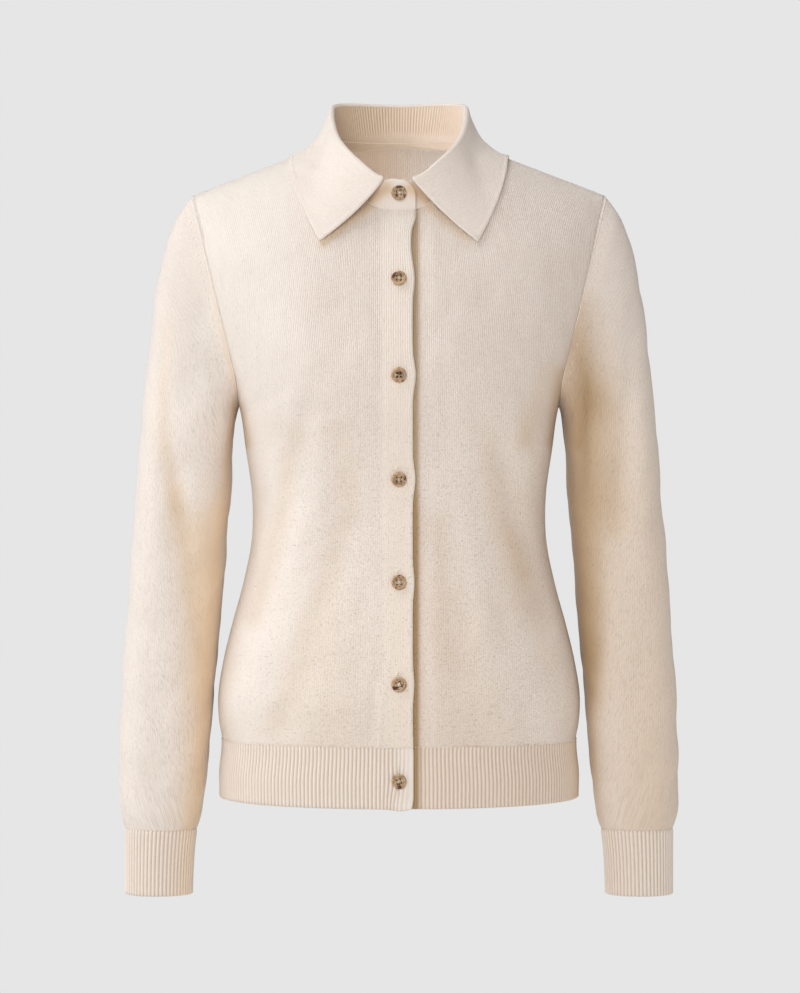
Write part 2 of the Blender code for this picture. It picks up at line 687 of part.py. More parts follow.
def wall_faces(rows, columns, wrap):
    """Faces of a closed wall whose outer points come first and inner points next, in rows and columns."""
    layer = rows * columns
    spans = columns if wrap else columns - 1

    def at(row, column):
        return row * columns + column % columns

    faces = []
    for row in range(rows - 1):
        for column in range(spans):
            a, b = at(row, column), at(row, column + 1)
            c, d = at(row + 1, column + 1), at(row + 1, column)
            for corner in ((a, b, c), (a, c, d)):
                faces += [corner, tuple(layer + i for i in reversed(corner))]
    for column in range(spans):
        for row in (0, rows - 1):
            a, b = at(row, column), at(row, column + 1)
            faces.append([a, b, layer + b, layer + a])
    for row in range(0 if wrap else rows - 1):
        for column in (0, columns - 1):
            a, b = at(row, column), at(row + 1, column)
            faces.append([a, b, layer + b, layer + a])
    return faces


def wall(name, outer, inner, wrap=False, **made):
    rows, columns = outer.shape[:2]
    points = np.concatenate((outer.reshape(-1, 3), inner.reshape(-1, 3)))
    return closed_object(name, points, wall_faces(rows, columns, wrap), **made)


def ribbed_wall(name, ribbed, plain, wrap=False, **made):
    """Wall of two rows whose one side has ribs and whose other side is plain, a plain face for every few ribs."""
    ribs, faces_behind = ribbed.shape[1], plain.shape[1]
    layer = 2 * ribs
    step = ribs // faces_behind if wrap else (ribs - 1) // (faces_behind - 1)
    faces = []
    for i in range(ribs if wrap else ribs - 1):
        j = (i + 1) % ribs
        faces.append([i, j, ribs + j, ribs + i])
    for i in range(faces_behind if wrap else faces_behind - 1):
        j = (i + 1) % faces_behind
        low, high = layer + i, layer + j
        faces.append([low, high, faces_behind + high, faces_behind + low])
        edge = [k % ribs for k in range(i * step, (i + 1) * step + 1)]
        faces.append(edge + [high, low])
        faces.append([ribs + k for k in edge] + [faces_behind + high, faces_behind + low])
    if not wrap:
        for i, j in ((0, 0), (ribs - 1, faces_behind - 1)):
            faces.append([i, ribs + i, layer + faces_behind + j, layer + j])
    points = np.concatenate((ribbed.reshape(-1, 3), plain.reshape(-1, 3)))
    return closed_object(name, points, faces, **made)


def button_mesh(material):
    """Four-hole button with a rounded rim and a dished middle, standing on the XY plane."""
    profile = (
        (0.0, 2.0),
        (4.1, 2.0),
        (4.9, BUTTON_HEIGHT),
        (5.9, 2.6),
        (BUTTON_RADIUS, 1.6),
        (6.1, 0.5),
        (4.6, 0.0),
        (0.0, 0.0),
    )
    mesh = bpy.data.meshes.new("button_profile")
    edges = [(i, i + 1) for i in range(len(profile) - 1)]
    mesh.from_pydata([(radius * MM, 0.0, height * MM) for radius, height in profile], edges, [])
    turned = bpy.data.objects.new("button_turned", mesh)
    bpy.context.scene.collection.objects.link(turned)
    screw = turned.modifiers.new("turn", "SCREW")
    screw.steps = screw.render_steps = 16
    screw.use_merge_vertices = True
    screw.merge_threshold = 0.00001
    holes = bmesh.new()
    for turn in range(4):
        place = math.radians(34 + 90 * turn)
        made = bmesh.ops.create_cone(
            holes, cap_ends=True, segments=6, depth=4 * BUTTON_HEIGHT * MM,
            radius1=BUTTON_HOLE * MM, radius2=BUTTON_HOLE * MM,
        )
        shift = (BUTTON_HOLE_SPREAD * MM * math.cos(place), BUTTON_HOLE_SPREAD * MM * math.sin(place), 0.0)
        bmesh.ops.translate(holes, verts=made["verts"], vec=shift)
    hole_mesh = bpy.data.meshes.new("button_holes")
    holes.to_mesh(hole_mesh)
    holes.free()
    cutter = bpy.data.objects.new("button_holes", hole_mesh)
    cutter.hide_render = True
    cutter.display_type = "WIRE"
    cutters.objects.link(cutter)
    cut = turned.modifiers.new("holes", "BOOLEAN")
    cut.object = cutter
    evaluated = turned.evaluated_get(bpy.context.evaluated_depsgraph_get())
    finished = bpy.data.meshes.new_from_object(evaluated)
    finished.materials.clear()
    finished.materials.append(material)
    bpy.data.objects.remove(turned)
    return finished


def place_button(name, mesh, height, band, collection, parent):
    """Button flat on the right front's band, whose points up its middle are given."""
    low, middle, high = np.interp(height + BUTTON_RADIUS * np.arange(-1, 2), band[:, 2], band[:, 1])
    tilt = math.atan2(low - high, 2 * BUTTON_RADIUS)
    lift = SEAM_GAP + (RIB_RAISE / 2 if height < HEM_TOP else 0.0)
    y = min(middle, (low + high) / 2)
    obj = bpy.data.objects.new(name, mesh)
    obj.rotation_euler = (math.pi / 2 + tilt, 0.0, 0.0)
    obj.location = (0.0, (y - lift * math.cos(tilt)) * MM, (height - lift * math.sin(tilt)) * MM)
    obj.parent = parent
    collection.objects.link(obj)


def cloth(name, colour):
    material = bpy.data.materials.new(name)
    material.use_nodes = True
    shader = material.node_tree.nodes["Principled BSDF"]
    shader.inputs["Base Color"].default_value = (*colour, 1.0)
    shader.inputs["Roughness"].default_value = 0.9
    shader.inputs["Metallic"].default_value = 0.0
    return material


for old in list(bpy.data.objects):
    bpy.data.objects.remove(old)

cardigan = bpy.data.collections.new("button_cardigan")
cutters = bpy.data.collections.new("cutters")
bpy.context.scene.collection.children.link(cardigan)
bpy.context.scene.collection.children.link(cutters)
worn_at = bpy.data.objects.new("worn_at", None)
cardigan.objects.link(worn_at)

plain_knit = cloth("plain_knit", (0.80, 0.70, 0.59))
rib_knit = cloth("rib_knit", (0.79, 0.68, 0.57))
horn = cloth("horn", (0.33, 0.20, 0.12))
horn.node_tree.nodes["Principled BSDF"].inputs["Roughness"].default_value = 0.3

knit = {"material": plain_knit, "collection": cardigan, "parent": worn_at}
rib = {"material": rib_knit, "collection": cardigan, "parent": worn_at}

front_places = (FRONT_COLUMNS.keys, FRONT_COLUMNS.columns["top"])
back_places = [np.concatenate((-half[:0:-1], half)) for half in BACK_COLUMNS.columns.values()]
right_front = panel(-1, -1, FRONT_EDGE, *front_places)
left_front = panel(-1, 1, FRONT_EDGE, *front_places, UNDERLAP_DEPTH)
back_panel = panel(1, 1, 0.0, *back_places)
wall("front_right", *right_front, **knit)
wall("front_left", *left_front, **knit)
wall("back", *back_panel, **knit)

hem_right = hem(-1, -1, FRONT_EDGE, HEM_RIBS["front"])
ribbed_wall("hem_front_right", *hem_right, **rib)
ribbed_wall("hem_front_left", *hem(-1, 1, FRONT_EDGE, HEM_RIBS["front"], UNDERLAP_DEPTH), **rib)
ribbed_wall("hem_back", *hem(1, 1, 0.0, HEM_RIBS["back"]), **rib)

for hand, name in ((-1, "right"), (1, "left")):
    wall("sleeve_" + name, *sleeve(hand), wrap=True, **knit)
    ribbed_wall("cuff_" + name, *cuff(hand), wrap=True, **rib)

ribbed_wall("collar_stand", *stand(right_front, back_panel, left_front), **rib)
wall("collar_leaf", *leaf(), **knit)

band_on_hem = hem_right[0][:, : 2 * WELT_BACKING].mean(axis=1)
band_on_front = right_front[0][:, :2].mean(axis=1)
band_on_stand = np.array([[0.0, -FOLD.at("forward", 0.0) - WALL, FOLD.at("up", 0.0)]])
band = np.concatenate((band_on_hem, band_on_front, band_on_stand))
button = button_mesh(horn)
for number, height in enumerate(BUTTON_HEIGHTS, 1):
    place_button(f"button_{number}", button, height, band, cardigan, worn_at)
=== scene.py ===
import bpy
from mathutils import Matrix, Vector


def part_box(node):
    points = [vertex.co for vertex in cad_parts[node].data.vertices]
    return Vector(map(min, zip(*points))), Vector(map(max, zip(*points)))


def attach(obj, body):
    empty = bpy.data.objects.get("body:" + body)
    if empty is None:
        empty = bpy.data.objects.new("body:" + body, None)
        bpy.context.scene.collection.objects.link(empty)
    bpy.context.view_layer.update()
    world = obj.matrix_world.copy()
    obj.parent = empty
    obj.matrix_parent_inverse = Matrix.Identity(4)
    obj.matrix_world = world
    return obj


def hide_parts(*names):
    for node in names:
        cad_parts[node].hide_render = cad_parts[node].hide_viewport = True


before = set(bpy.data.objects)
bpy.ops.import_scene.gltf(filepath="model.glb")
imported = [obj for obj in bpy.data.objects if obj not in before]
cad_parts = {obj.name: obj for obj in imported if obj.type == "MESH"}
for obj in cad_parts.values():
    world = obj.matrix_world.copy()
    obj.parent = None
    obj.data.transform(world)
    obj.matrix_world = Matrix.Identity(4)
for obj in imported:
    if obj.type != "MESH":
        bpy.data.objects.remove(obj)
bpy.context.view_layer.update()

import math

import bmesh
import bpy
import numpy as np
from mathutils import Matrix, Vector
from mathutils.bvhtree import BVHTree

print("frame loaded:", len(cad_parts), "nodes")

mm = 0.001  # every size below is in millimetres; X to the wearer's left, -Y to the front, Z up


def sizeTable(names, rows):
    # the rows as one column of numbers for each name; the first column is the one that is looked up
    return dict(zip(names, np.array(rows, dtype=float).T))


def sizeAt(table, name, key):
    # cubic through the rows of a table, with the mean slope of the two neighbours at each row, flat beyond the ends
    keys, values = next(iter(table.values())), table[name]
    slopes = np.gradient(values, keys)
    key = np.clip(key, keys[0], keys[-1])
    i = np.clip(np.searchsorted(keys, key) - 1, 0, len(keys) - 2)
    step = keys[i + 1] - keys[i]
    t = (key - keys[i]) / step
    start = (1 + 2 * t) * (1 - t) ** 2 * values[i] + t * (1 - t) ** 2 * step * slopes[i]
    return start + t**2 * (3 - 2 * t) * values[i + 1] - t**2 * (1 - t) * step * slopes[i + 1]


def unit(vectors):
    # the same directions, each with a length of 1
    return vectors / np.linalg.norm(vectors, axis=-1, keepdims=True)


def ramp(value, start, end):
    # 0 at start, 1 at end, soft at both: 3t^2 - 2t^3
    t = np.clip((value - start) / (end - start), 0.0, 1.0)
    return t * t * (3.0 - 2.0 * t)


def hump(value, middle, width):
    # bell round the middle: e to the power of -(distance / width)^2
    return np.exp(-(((value - middle) / width) ** 2))


def finer(values, perSpan):
    # the same row of numbers with more steps between neighbours
    places = np.arange(len(values))
    return np.interp(np.linspace(0, len(values) - 1, (len(values) - 1) * perSpan + 1), places, values)


def lengthAlong(points, axis):
    # distance along each line of points in a grid
    steps = np.linalg.norm(np.diff(points, axis=axis), axis=-1)
    pad = [(0, 0)] * steps.ndim
    pad[axis] = (1, 0)
    return np.pad(np.cumsum(steps, axis=axis), pad)


def softWaves(u, v, seed, size, count=7):
    # sum of a few plane waves of about one wavelength, in directions and phases that a seeded draw picks
    draw = np.random.default_rng(seed)
    total = np.zeros(np.broadcast(u, v).shape)
    for _ in range(count):
        angle, phase = draw.uniform(0, math.pi), draw.uniform(0, 2 * math.pi)
        wave = 2 * math.pi / (size * draw.uniform(0.7, 1.5))
        total += np.sin(wave * (u * math.cos(angle) + v * math.sin(angle)) + phase)
    return total / math.sqrt(count)


def strokeAmount(strokes, mark, u, z, unitSize=1.0):
    # a bell across the distance to each stroke's line, its amount running evenly from the line's first end to its
    # last; where strokes overlap, each takes its share of what the others leave
    total = 0.0 * (u + z)
    for stroke in (s for s in strokes if mark in s):
        path = np.array(stroke["path"])
        nearest, share = total * 0 + 1e9, total * 0
        for k, (a, b) in enumerate(zip(path[:-1], path[1:])):
            du, dz = (b[0] - a[0]) * unitSize, b[1] - a[1]
            fromU, fromZ = (u - a[0]) * unitSize, z - a[1]
            t = np.clip((fromU * du + fromZ * dz) / (du**2 + dz**2), 0.0, 1.0)
            away = (fromU - t * du) ** 2 + (fromZ - t * dz) ** 2
            share = np.where(away < nearest, (k + t) / (len(path) - 1), share)
            nearest = np.minimum(nearest, away)
        first, last = stroke[mark]
        amount = (first + (last - first) * share) * np.exp(-nearest / stroke["width"] ** 2)
        total = total + amount - total * amount
    return total


def orientOut(points, faces):
    # turns a closed surface's faces outwards: over the triangles fanned from each face's first corner a, the sum of
    # a . (b x c) is above 0 when they already face that way
    a, fans = points[faces[:, 0]], range(1, faces.shape[1] - 1)
    volume = sum(np.einsum("ij,ij->i", a, np.cross(points[faces[:, k]], points[faces[:, k + 1]])).sum() for k in fans)
    return faces if volume > 0 else faces[:, ::-1]


def meshPiece(name, points, faces, material, uv=None, marks=None, nodes=(), slot=None):
    # puts points and faces into an object, with its knit map in metres and, per point, how much painted light,
    # painted warm and dark shade and rib pattern it carries
    mesh = bpy.data.meshes.new(name)
    mesh.from_pydata((points * mm).tolist(), [], faces.tolist())
    if uv is not None:
        layer = mesh.uv_layers.new(name="cloth")
        layer.data.foreach_set("uv", (uv * mm).astype(np.float32).ravel())
    for label, values in (marks or {}).items():
        mesh.attributes.new(label, "FLOAT", "POINT").data.foreach_set("value", values.astype(np.float32))
    mesh.shade_smooth()
    mesh.materials.append(material)
    piece = bpy.data.objects.new(name, mesh)
    bpy.context.scene.collection.objects.link(piece)
    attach(piece, "root")
    if nodes:
        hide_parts(*nodes)
    return piece


def clothShell(name, outer, inner, cloth, wrap=False, lip=0.35, marks=None, inside=None, **made):
    # closed wall: a grid of outer points, the grid behind it, and a rounded lip between the two round every border;
    # cloth holds the distances across and along the knit for every point of the grid
    rows, cols = outer.shape[:2]
    count = rows * cols
    grid = np.arange(count).reshape(rows, cols)
    span = np.concatenate((grid, grid[:, :1]), axis=1) if wrap else grid
    corners = ((slice(None, -1), slice(None, -1)), (slice(None, -1), slice(1, None)),
               (slice(1, None), slice(1, None)), (slice(1, None), slice(None, -1)))
    front = np.stack([span[c] for c in corners], -1).reshape(-1, 4)
    frontUv = np.stack([cloth[c] for c in corners], 2).reshape(-1, 4, 2)
    right, top = span.shape[1] - 1, rows - 1
    across, up = np.arange(right + 1), np.arange(rows)
    if wrap:
        rims = [(0 * across, across), (0 * across + top, across[::-1])]
    else:
        r = np.concatenate((0 * across, up[1:], 0 * across[1:] + top, up[-2::-1]))
        c = np.concatenate((across, 0 * up[1:] + right, across[-2::-1], 0 * up[1:]))
        rims = [(r, c)]
    outerRow, innerRow = outer.reshape(-1, 3), inner.reshape(-1, 3)
    points, faces, uvs = [outerRow, innerRow], [front, front[:, ::-1] + count], [frontUv, frontUv[:, ::-1]]
    marks = {label: np.broadcast_to(values, (rows, cols)).ravel() for label, values in (marks or {}).items()}
    marked = {label: [values, np.broadcast_to((inside or {}).get(label, 0.0), (rows, cols)).ravel()]
              for label, values in marks.items()}
    madeSoFar = 2 * count
    for r, c in rims:
        r, c = r[:-1], c[:-1]
        here = span[r, c]
        a, b = outerRow[here], innerRow[here]
        furtherIn = outer[np.clip(r, 1, rows - 2), c % cols if wrap else np.clip(c, 1, cols - 2)]
        points.append((a + b) / 2 + unit(a - furtherIn) * lip * np.linalg.norm(a - b, axis=-1, keepdims=True))
        for label, values in marks.items():
            marked[label].append(values[here])
        middle = madeSoFar + np.arange(len(here))
        madeSoFar += len(here)
        after, middleAfter = np.roll(here, -1), np.roll(middle, -1)
        faces.append(np.stack((after, here, middle, middleAfter), -1))
        faces.append(np.stack((middleAfter, middle, here + count, after + count), -1))
        flat = cloth[r, c]
        flatAfter = np.roll(flat, -1, axis=0)
        uvs += [np.stack((flatAfter, flat, flat, flatAfter), 1)] * 2
    points, faces, uvs = np.concatenate(points), np.concatenate(faces), np.concatenate(uvs)
    turned = orientOut(points, faces)
    if turned is not faces:
        uvs = uvs[:, ::-1]
    return meshPiece(name, points, turned, uv=uvs, marks={k: np.concatenate(v) for k, v in marked.items()}, **made)


def tubeAlong(path, radius, sides=8, closed=False):
    # a circle of points carried along a path, its frame built from the path's run and one steady sideways direction
    path = np.asarray(path, dtype=float)
    run = unit(np.roll(path, -1, axis=0) - np.roll(path, 1, axis=0)) if closed else unit(np.gradient(path, axis=0))
    steady = np.array((0.31, -0.87, 0.38))
    sideways = unit(np.cross(run, steady))
    upward = np.cross(sideways, run)
    angle = np.arange(sides) * 2 * math.pi / sides
    radius = np.broadcast_to(np.asarray(radius, dtype=float), (len(path),))[:, None, None]
    ring = np.cos(angle)[None, :, None] * sideways[:, None] + np.sin(angle)[None, :, None] * upward[:, None]
    points = (path[:, None] + radius * ring).reshape(-1, 3)
    index = np.arange(len(path) * sides).reshape(len(path), sides)
    a = index if closed else index[:-1]
    b = np.roll(index, -1, axis=0) if closed else index[1:]
    faces = [np.stack((a, np.roll(a, -1, axis=1), np.roll(b, -1, axis=1), b), -1).reshape(-1, 4)]
    if not closed:
        for row, flip in ((index[0], 1), (index[-1], -1)):
            half = sides // 2
            cap = [(row[k], row[k + 1], row[sides - 2 - k], row[sides - 1 - k]) for k in range(half - 1)]
            faces.append(np.array(cap)[:, ::-flip])
    return points, orientOut(points, np.concatenate(faces))


def joinShapes(shapes):
    # the points and faces of several shapes as one list of each
    offset, points, faces = 0, [], []
    for p, f in shapes:
        points.append(p)
        faces.append(f + offset)
        offset += len(p)
    return np.concatenate(points), np.concatenate(faces)


def newGroup(name, inputs, outputs):
    # shader node group with its named inputs, each with a kind and a value, and its named outputs
    group = bpy.data.node_groups.new(name, "ShaderNodeTree")
    for label, kind, value in inputs:
        socket = group.interface.new_socket(label, in_out="INPUT", socket_type=kind)
        if value is not None:
            socket.default_value = value
    for label, kind in outputs:
        group.interface.new_socket(label, in_out="OUTPUT", socket_type=kind)
    nodes = group.nodes
    return group, nodes.new("NodeGroupInput"), nodes.new("NodeGroupOutput")


def mathNode(tree, operation, a, b=None, c=None, clamp=False):
    # one Math node; a, b and c are plain numbers or other nodes' outputs
    node = tree.nodes.new("ShaderNodeMath")
    node.operation = operation
    node.use_clamp = clamp
    for socket, value in zip(node.inputs, (a, b, c)):
        if isinstance(value, (int, float)):
            socket.default_value = value
        elif value is not None:
            tree.links.new(value, socket)
    return node.outputs[0]


def knitGroup():
    # rows of leaning stitch legs: across a wale the two legs are a rounded ridge with a dip between wales, along it
    # they repeat every course and lean towards the middle of the wale
    floatSocket = "NodeSocketFloat"
    group, given, result = newGroup(
        "knitStitches",
        [("Across", floatSocket, 0.0), ("Along", floatSocket, 0.0),
         ("Wale", floatSocket, 2.0), ("Course", floatSocket, 1.5)],
        [("Height", floatSocket), ("Groove", floatSocket)],
    )
    wale = mathNode(group, "DIVIDE", given.outputs["Across"], given.outputs["Wale"])
    course = mathNode(group, "DIVIDE", given.outputs["Along"], given.outputs["Course"])
    place = mathNode(group, "ABSOLUTE", mathNode(group, "SUBTRACT", mathNode(group, "FRACT", wale), 0.5))
    across = mathNode(group, "COSINE", mathNode(group, "MULTIPLY", place, math.pi))
    lean = mathNode(group, "SUBTRACT", course, mathNode(group, "MULTIPLY", place, 1.3))
    leg = mathNode(group, "SINE", mathNode(group, "MULTIPLY", lean, 2 * math.pi))
    legs = mathNode(group, "MULTIPLY_ADD", leg, 0.08, 0.92)
    group.links.new(mathNode(group, "MULTIPLY", across, legs), result.inputs["Height"])
    group.links.new(mathNode(group, "POWER", mathNode(group, "MULTIPLY", place, 2.0), 3.0), result.inputs["Groove"])
    return group


def napGroup():
    # felted surface: fine fibre grain, short soft streaks along the wales, slow clouds and stray pale fibres
    floatSocket = "NodeSocketFloat"
    group, given, result = newGroup(
        "softNap",
        [("Cloth", "NodeSocketVector", None), ("Grain", floatSocket, 900.0), ("Streak", floatSocket, 520.0)],
        [("Grain", floatSocket), ("Streaks", floatSocket), ("Clouds", floatSocket), ("Flecks", floatSocket)],
    )

    def noise(stretch, scale, detail):
        # noise over the knit map, stretched along or across it
        mapping = group.nodes.new("ShaderNodeMapping")
        mapping.inputs["Scale"].default_value = stretch
        group.links.new(given.outputs["Cloth"], mapping.inputs["Vector"])
        node = group.nodes.new("ShaderNodeTexNoise")
        node.inputs["Detail"].default_value = detail
        node.inputs["Roughness"].default_value = 0.6
        group.links.new(mapping.outputs[0], node.inputs["Vector"])
        if isinstance(scale, (int, float)):
            node.inputs["Scale"].default_value = scale
        else:
            group.links.new(scale, node.inputs["Scale"])
        return node.outputs["Fac"]

    group.links.new(noise((1.0, 0.8, 1.0), given.outputs["Grain"], 2.0), result.inputs["Grain"])
    group.links.new(noise((1.0, 0.5, 1.0), given.outputs["Streak"], 2.0), result.inputs["Streaks"])
    group.links.new(noise((1.0, 0.35, 1.0), 70.0, 3.0), result.inputs["Clouds"])
    fibres = mathNode(group, "SUBTRACT", noise((0.7, 1.0, 1.0), 640.0, 0.0), 0.68)
    group.links.new(mathNode(group, "MULTIPLY", fibres, 9.0, clamp=True), result.inputs["Flecks"])
    return group


knitStitches, softNap = knitGroup(), napGroup()

# light and deep are the yarn's own tones; pale is painted light, warm and dark are painted shade
yarn = {
    "light": (0.910, 0.815, 0.750, 1.0), "deep": (0.760, 0.635, 0.540, 1.0),
    "pale": (0.950, 0.866, 0.795, 1.0), "warmShade": (0.930, 0.700, 0.480, 1.0), "darkShade": (0.460, 0.305, 0.165, 1.0),
    "feltedClear": 0.35, "gritShade": 1.8,
    "surface": {"Roughness": 0.95, "Specular IOR Level": 0.12, "Sheen Weight": 0.32, "Sheen Roughness": 0.45,
                "Sheen Tint": (1.0, 0.97, 0.93, 1.0)},
}
ribWidth = 3.5  # of the hem, the cuffs and the collar stand
# wale and course are a stitch's width and height; the depths are those of the two bumps; the shades say how far the
# painted shade in the dips between wales, and the streaks and clouds of the yarn's own uneven tone, go from the
# light yarn to the deep one, grooveDark how far the dips go on to the dark painted shade; stitches are felted over
# below the first height, in metres, and clear above the second
knits = {
    "plainKnit": {"wale": 2.05, "course": 1.45, "stitchDepth": 0.36, "napDepth": 0.36, "grooveShade": 1.05,
                  "streakShade": 1.6, "cloudShade": 0.9, "grooveDark": 0.06, "clearing": (-0.30, -0.17)},
    "sleeveKnit": {"wale": 2.05, "course": 1.45, "stitchDepth": 0.28, "napDepth": 0.26, "grooveShade": 0.6,
                   "streakShade": 1.5, "cloudShade": 0.35, "grooveDark": 0.06, "clearing": (-0.26, -0.12)},
    "collarKnit": {"wale": 1.9, "course": 1.4, "stitchDepth": 0.20, "napDepth": 0.26, "grooveShade": 0.5,
                   "streakShade": 0.8, "cloudShade": 0.35, "grooveDark": 0.06, "clearing": (-9.0, -8.0)},
    "ribKnit": {"wale": ribWidth, "course": 1.45, "stitchDepth": 0.12, "napDepth": 0.15, "grooveShade": 1.1,
                "streakShade": 0.35, "cloudShade": 0.35, "grooveDark": 0.44, "clearing": (-9.0, -8.0)},
    "seamYarn": {"wale": 1.2, "course": 1.2, "stitchDepth": 0.05, "napDepth": 0.1, "grooveShade": 0.0,
                 "streakShade": 0.2, "cloudShade": 0.35, "grooveDark": 0.06, "clearing": (-9.0, -8.0)},
}


def colourMix(tree, factor, a, b):
    # a + factor (b - a), where a and b are colours or other nodes' outputs
    node = tree.nodes.new("ShaderNodeMix")
    node.data_type = "RGBA"
    tree.links.new(factor, node.inputs["Factor"])
    for label, value in (("A", a), ("B", b)):
        socket = next(s for s in node.inputs if s.name == label and s.type == "RGBA")
        if isinstance(value, tuple):
            socket.default_value = value
        else:
            tree.links.new(value, socket)
    return next(s for s in node.outputs if s.type == "RGBA")


def markNode(tree, label):
    # how much of a mark a piece carries at each point, kept between 0 and 1
    node = tree.nodes.new("ShaderNodeAttribute")
    node.attribute_name = label
    return mathNode(tree, "MULTIPLY", node.outputs["Fac"], 1.0, clamp=True)


def newMaterial(name, **settings):
    # material whose shader has the given values on its own sockets
    material = bpy.data.materials.new(name)
    material.use_nodes = True
    shader = material.node_tree.nodes["Principled BSDF"]
    for label, value in settings.items():
        shader.inputs[label].default_value = value
    return material, material.node_tree, shader


def yarnMaterial(name, ribbed=False):
    # fine wool-like knit: stitches in a bump, dips between wales painted darker as shade, nap over both, and painted
    # light, warm shade and dark shade where the piece's marks ask for them
    knit = knits[name]
    material, tree, shader = newMaterial(name, **yarn["surface"])
    uv = tree.nodes.new("ShaderNodeUVMap")
    uv.uv_map = "cloth"
    parts = tree.nodes.new("ShaderNodeSeparateXYZ")
    tree.links.new(uv.outputs[0], parts.inputs[0])
    stitches = tree.nodes.new("ShaderNodeGroup")
    stitches.node_tree = knitStitches
    stitches.inputs["Wale"].default_value = knit["wale"] * mm
    stitches.inputs["Course"].default_value = knit["course"] * mm
    tree.links.new(parts.outputs["X"], stitches.inputs["Across"])
    tree.links.new(parts.outputs["Y"], stitches.inputs["Along"])
    nap = tree.nodes.new("ShaderNodeGroup")
    nap.node_tree = softNap
    tree.links.new(uv.outputs[0], nap.inputs["Cloth"])
    place, height = tree.nodes.new("ShaderNodeTexCoord"), tree.nodes.new("ShaderNodeSeparateXYZ")
    tree.links.new(place.outputs["Object"], height.inputs[0])
    clear = tree.nodes.new("ShaderNodeMapRange")
    low, high = knit["clearing"]
    for label, value in (("From Min", low), ("From Max", high), ("To Min", yarn["feltedClear"]), ("To Max", 1.0)):
        clear.inputs[label].default_value = value
    tree.links.new(height.outputs["Z"], clear.inputs["Value"])
    # painted shade in the dips between wales, where the stitches are clear
    grooveShade = mathNode(tree, "MULTIPLY", clear.outputs[0], knit["grooveShade"])
    groove = mathNode(tree, "MULTIPLY", stitches.outputs["Groove"], grooveShade)
    if ribbed:
        groove = mathNode(tree, "MULTIPLY", groove, markNode(tree, "ribs"))
    felted = mathNode(tree, "MULTIPLY_ADD", clear.outputs[0], -0.8 * knit["streakShade"], 1.6 * knit["streakShade"])
    streak = mathNode(tree, "MULTIPLY", mathNode(tree, "SUBTRACT", nap.outputs["Streaks"], 0.5), felted)
    spots = mathNode(tree, "MULTIPLY_ADD", nap.outputs["Clouds"], knit["cloudShade"], 0.10 - 0.5 * knit["cloudShade"])
    grit = mathNode(tree, "MULTIPLY", mathNode(tree, "SUBTRACT", nap.outputs["Grain"], 0.5), yarn["gritShade"])
    cloud = mathNode(tree, "MULTIPLY_ADD", grit, felted, spots)
    flecks = mathNode(tree, "MULTIPLY", nap.outputs["Flecks"], felted)
    lines, points = mathNode(tree, "ADD", groove, streak), mathNode(tree, "SUBTRACT", cloud, flecks)
    # the dips' painted shade together with the streaks, clouds, grit and flecks of the yarn's own uneven tone
    shade = mathNode(tree, "ADD", lines, points, clamp=True)
    colour = colourMix(tree, shade, yarn["light"], yarn["deep"])
    # painted shade: the dips go on towards the dark shade colour
    dips = mathNode(tree, "MULTIPLY", groove, knit["grooveDark"], clamp=True)
    colour = colourMix(tree, dips, colour, yarn["darkShade"])
    # painted light and painted warm and dark shade from the piece's marks
    for label in ("pale", "warmShade", "darkShade"):
        colour = colourMix(tree, markNode(tree, label), colour, yarn[label])
    tree.links.new(colour, shader.inputs["Base Color"])
    stitchBump, napBump = tree.nodes.new("ShaderNodeBump"), tree.nodes.new("ShaderNodeBump")
    stitchBump.inputs["Distance"].default_value = knit["stitchDepth"] * mm
    raised = mathNode(tree, "MULTIPLY", stitches.outputs["Height"], clear.outputs[0])
    tree.links.new(raised, stitchBump.inputs["Height"])
    napBump.inputs["Distance"].default_value = knit["napDepth"] * mm
    fuzz = mathNode(tree, "MULTIPLY_ADD", nap.outputs["Grain"], 0.4, nap.outputs["Streaks"])
    fuzz = mathNode(tree, "MULTIPLY_ADD", flecks, 0.5, fuzz)
    tree.links.new(fuzz, napBump.inputs["Height"])
    tree.links.new(stitchBump.outputs[0], napBump.inputs["Normal"])
    tree.links.new(napBump.outputs[0], shader.inputs["Normal"])
    return material


# scale, detail and the two values between which each pattern comes in
horn = {
    "light": (0.620, 0.430, 0.260, 1.0), "deep": (0.300, 0.155, 0.075, 1.0), "patch": (0.115, 0.042, 0.018, 1.0),
    "pit": (0.012, 0.008, 0.006, 1.0), "patches": (130.0, 2.0, 0.50, 0.62), "specks": (420.0, 3.0, 0.40, 0.75),
    "surface": {"Specular IOR Level": 0.3, "Coat Weight": 0.06, "Coat Roughness": 0.2},
}


def hornMaterial():
    # mottled horn: darker specks and brown patches in the light tone, a little gloss
    material, tree, shader = newMaterial("buttonHorn", **horn["surface"])
    place = tree.nodes.new("ShaderNodeTexCoord")

    def noise(scale, detail, low, high):
        # noise through the button, from 0 at its low value to 1 at its high one
        node, limits = tree.nodes.new("ShaderNodeTexNoise"), tree.nodes.new("ShaderNodeMapRange")
        node.inputs["Scale"].default_value = scale
        node.inputs["Detail"].default_value = detail
        node.inputs["Distortion"].default_value = 0.6
        limits.inputs["From Min"].default_value, limits.inputs["From Max"].default_value = low, high
        tree.links.new(place.outputs["Object"], node.inputs["Vector"])
        tree.links.new(node.outputs["Fac"], limits.inputs["Value"])
        return limits.outputs[0]

    patches, specks = noise(*horn["patches"]), noise(*horn["specks"])
    colour = colourMix(tree, specks, horn["light"], horn["deep"])
    colour = colourMix(tree, patches, colour, horn["patch"])
    # painted shade: the pits, and a ring on the rim's inner slope, go towards the dark pit colour
    colour = colourMix(tree, markNode(tree, "pit"), colour, horn["pit"])
    tree.links.new(colour, shader.inputs["Base Color"])
    tree.links.new(mathNode(tree, "MULTIPLY_ADD", specks, 0.15, 0.32), shader.inputs["Roughness"])
    return material


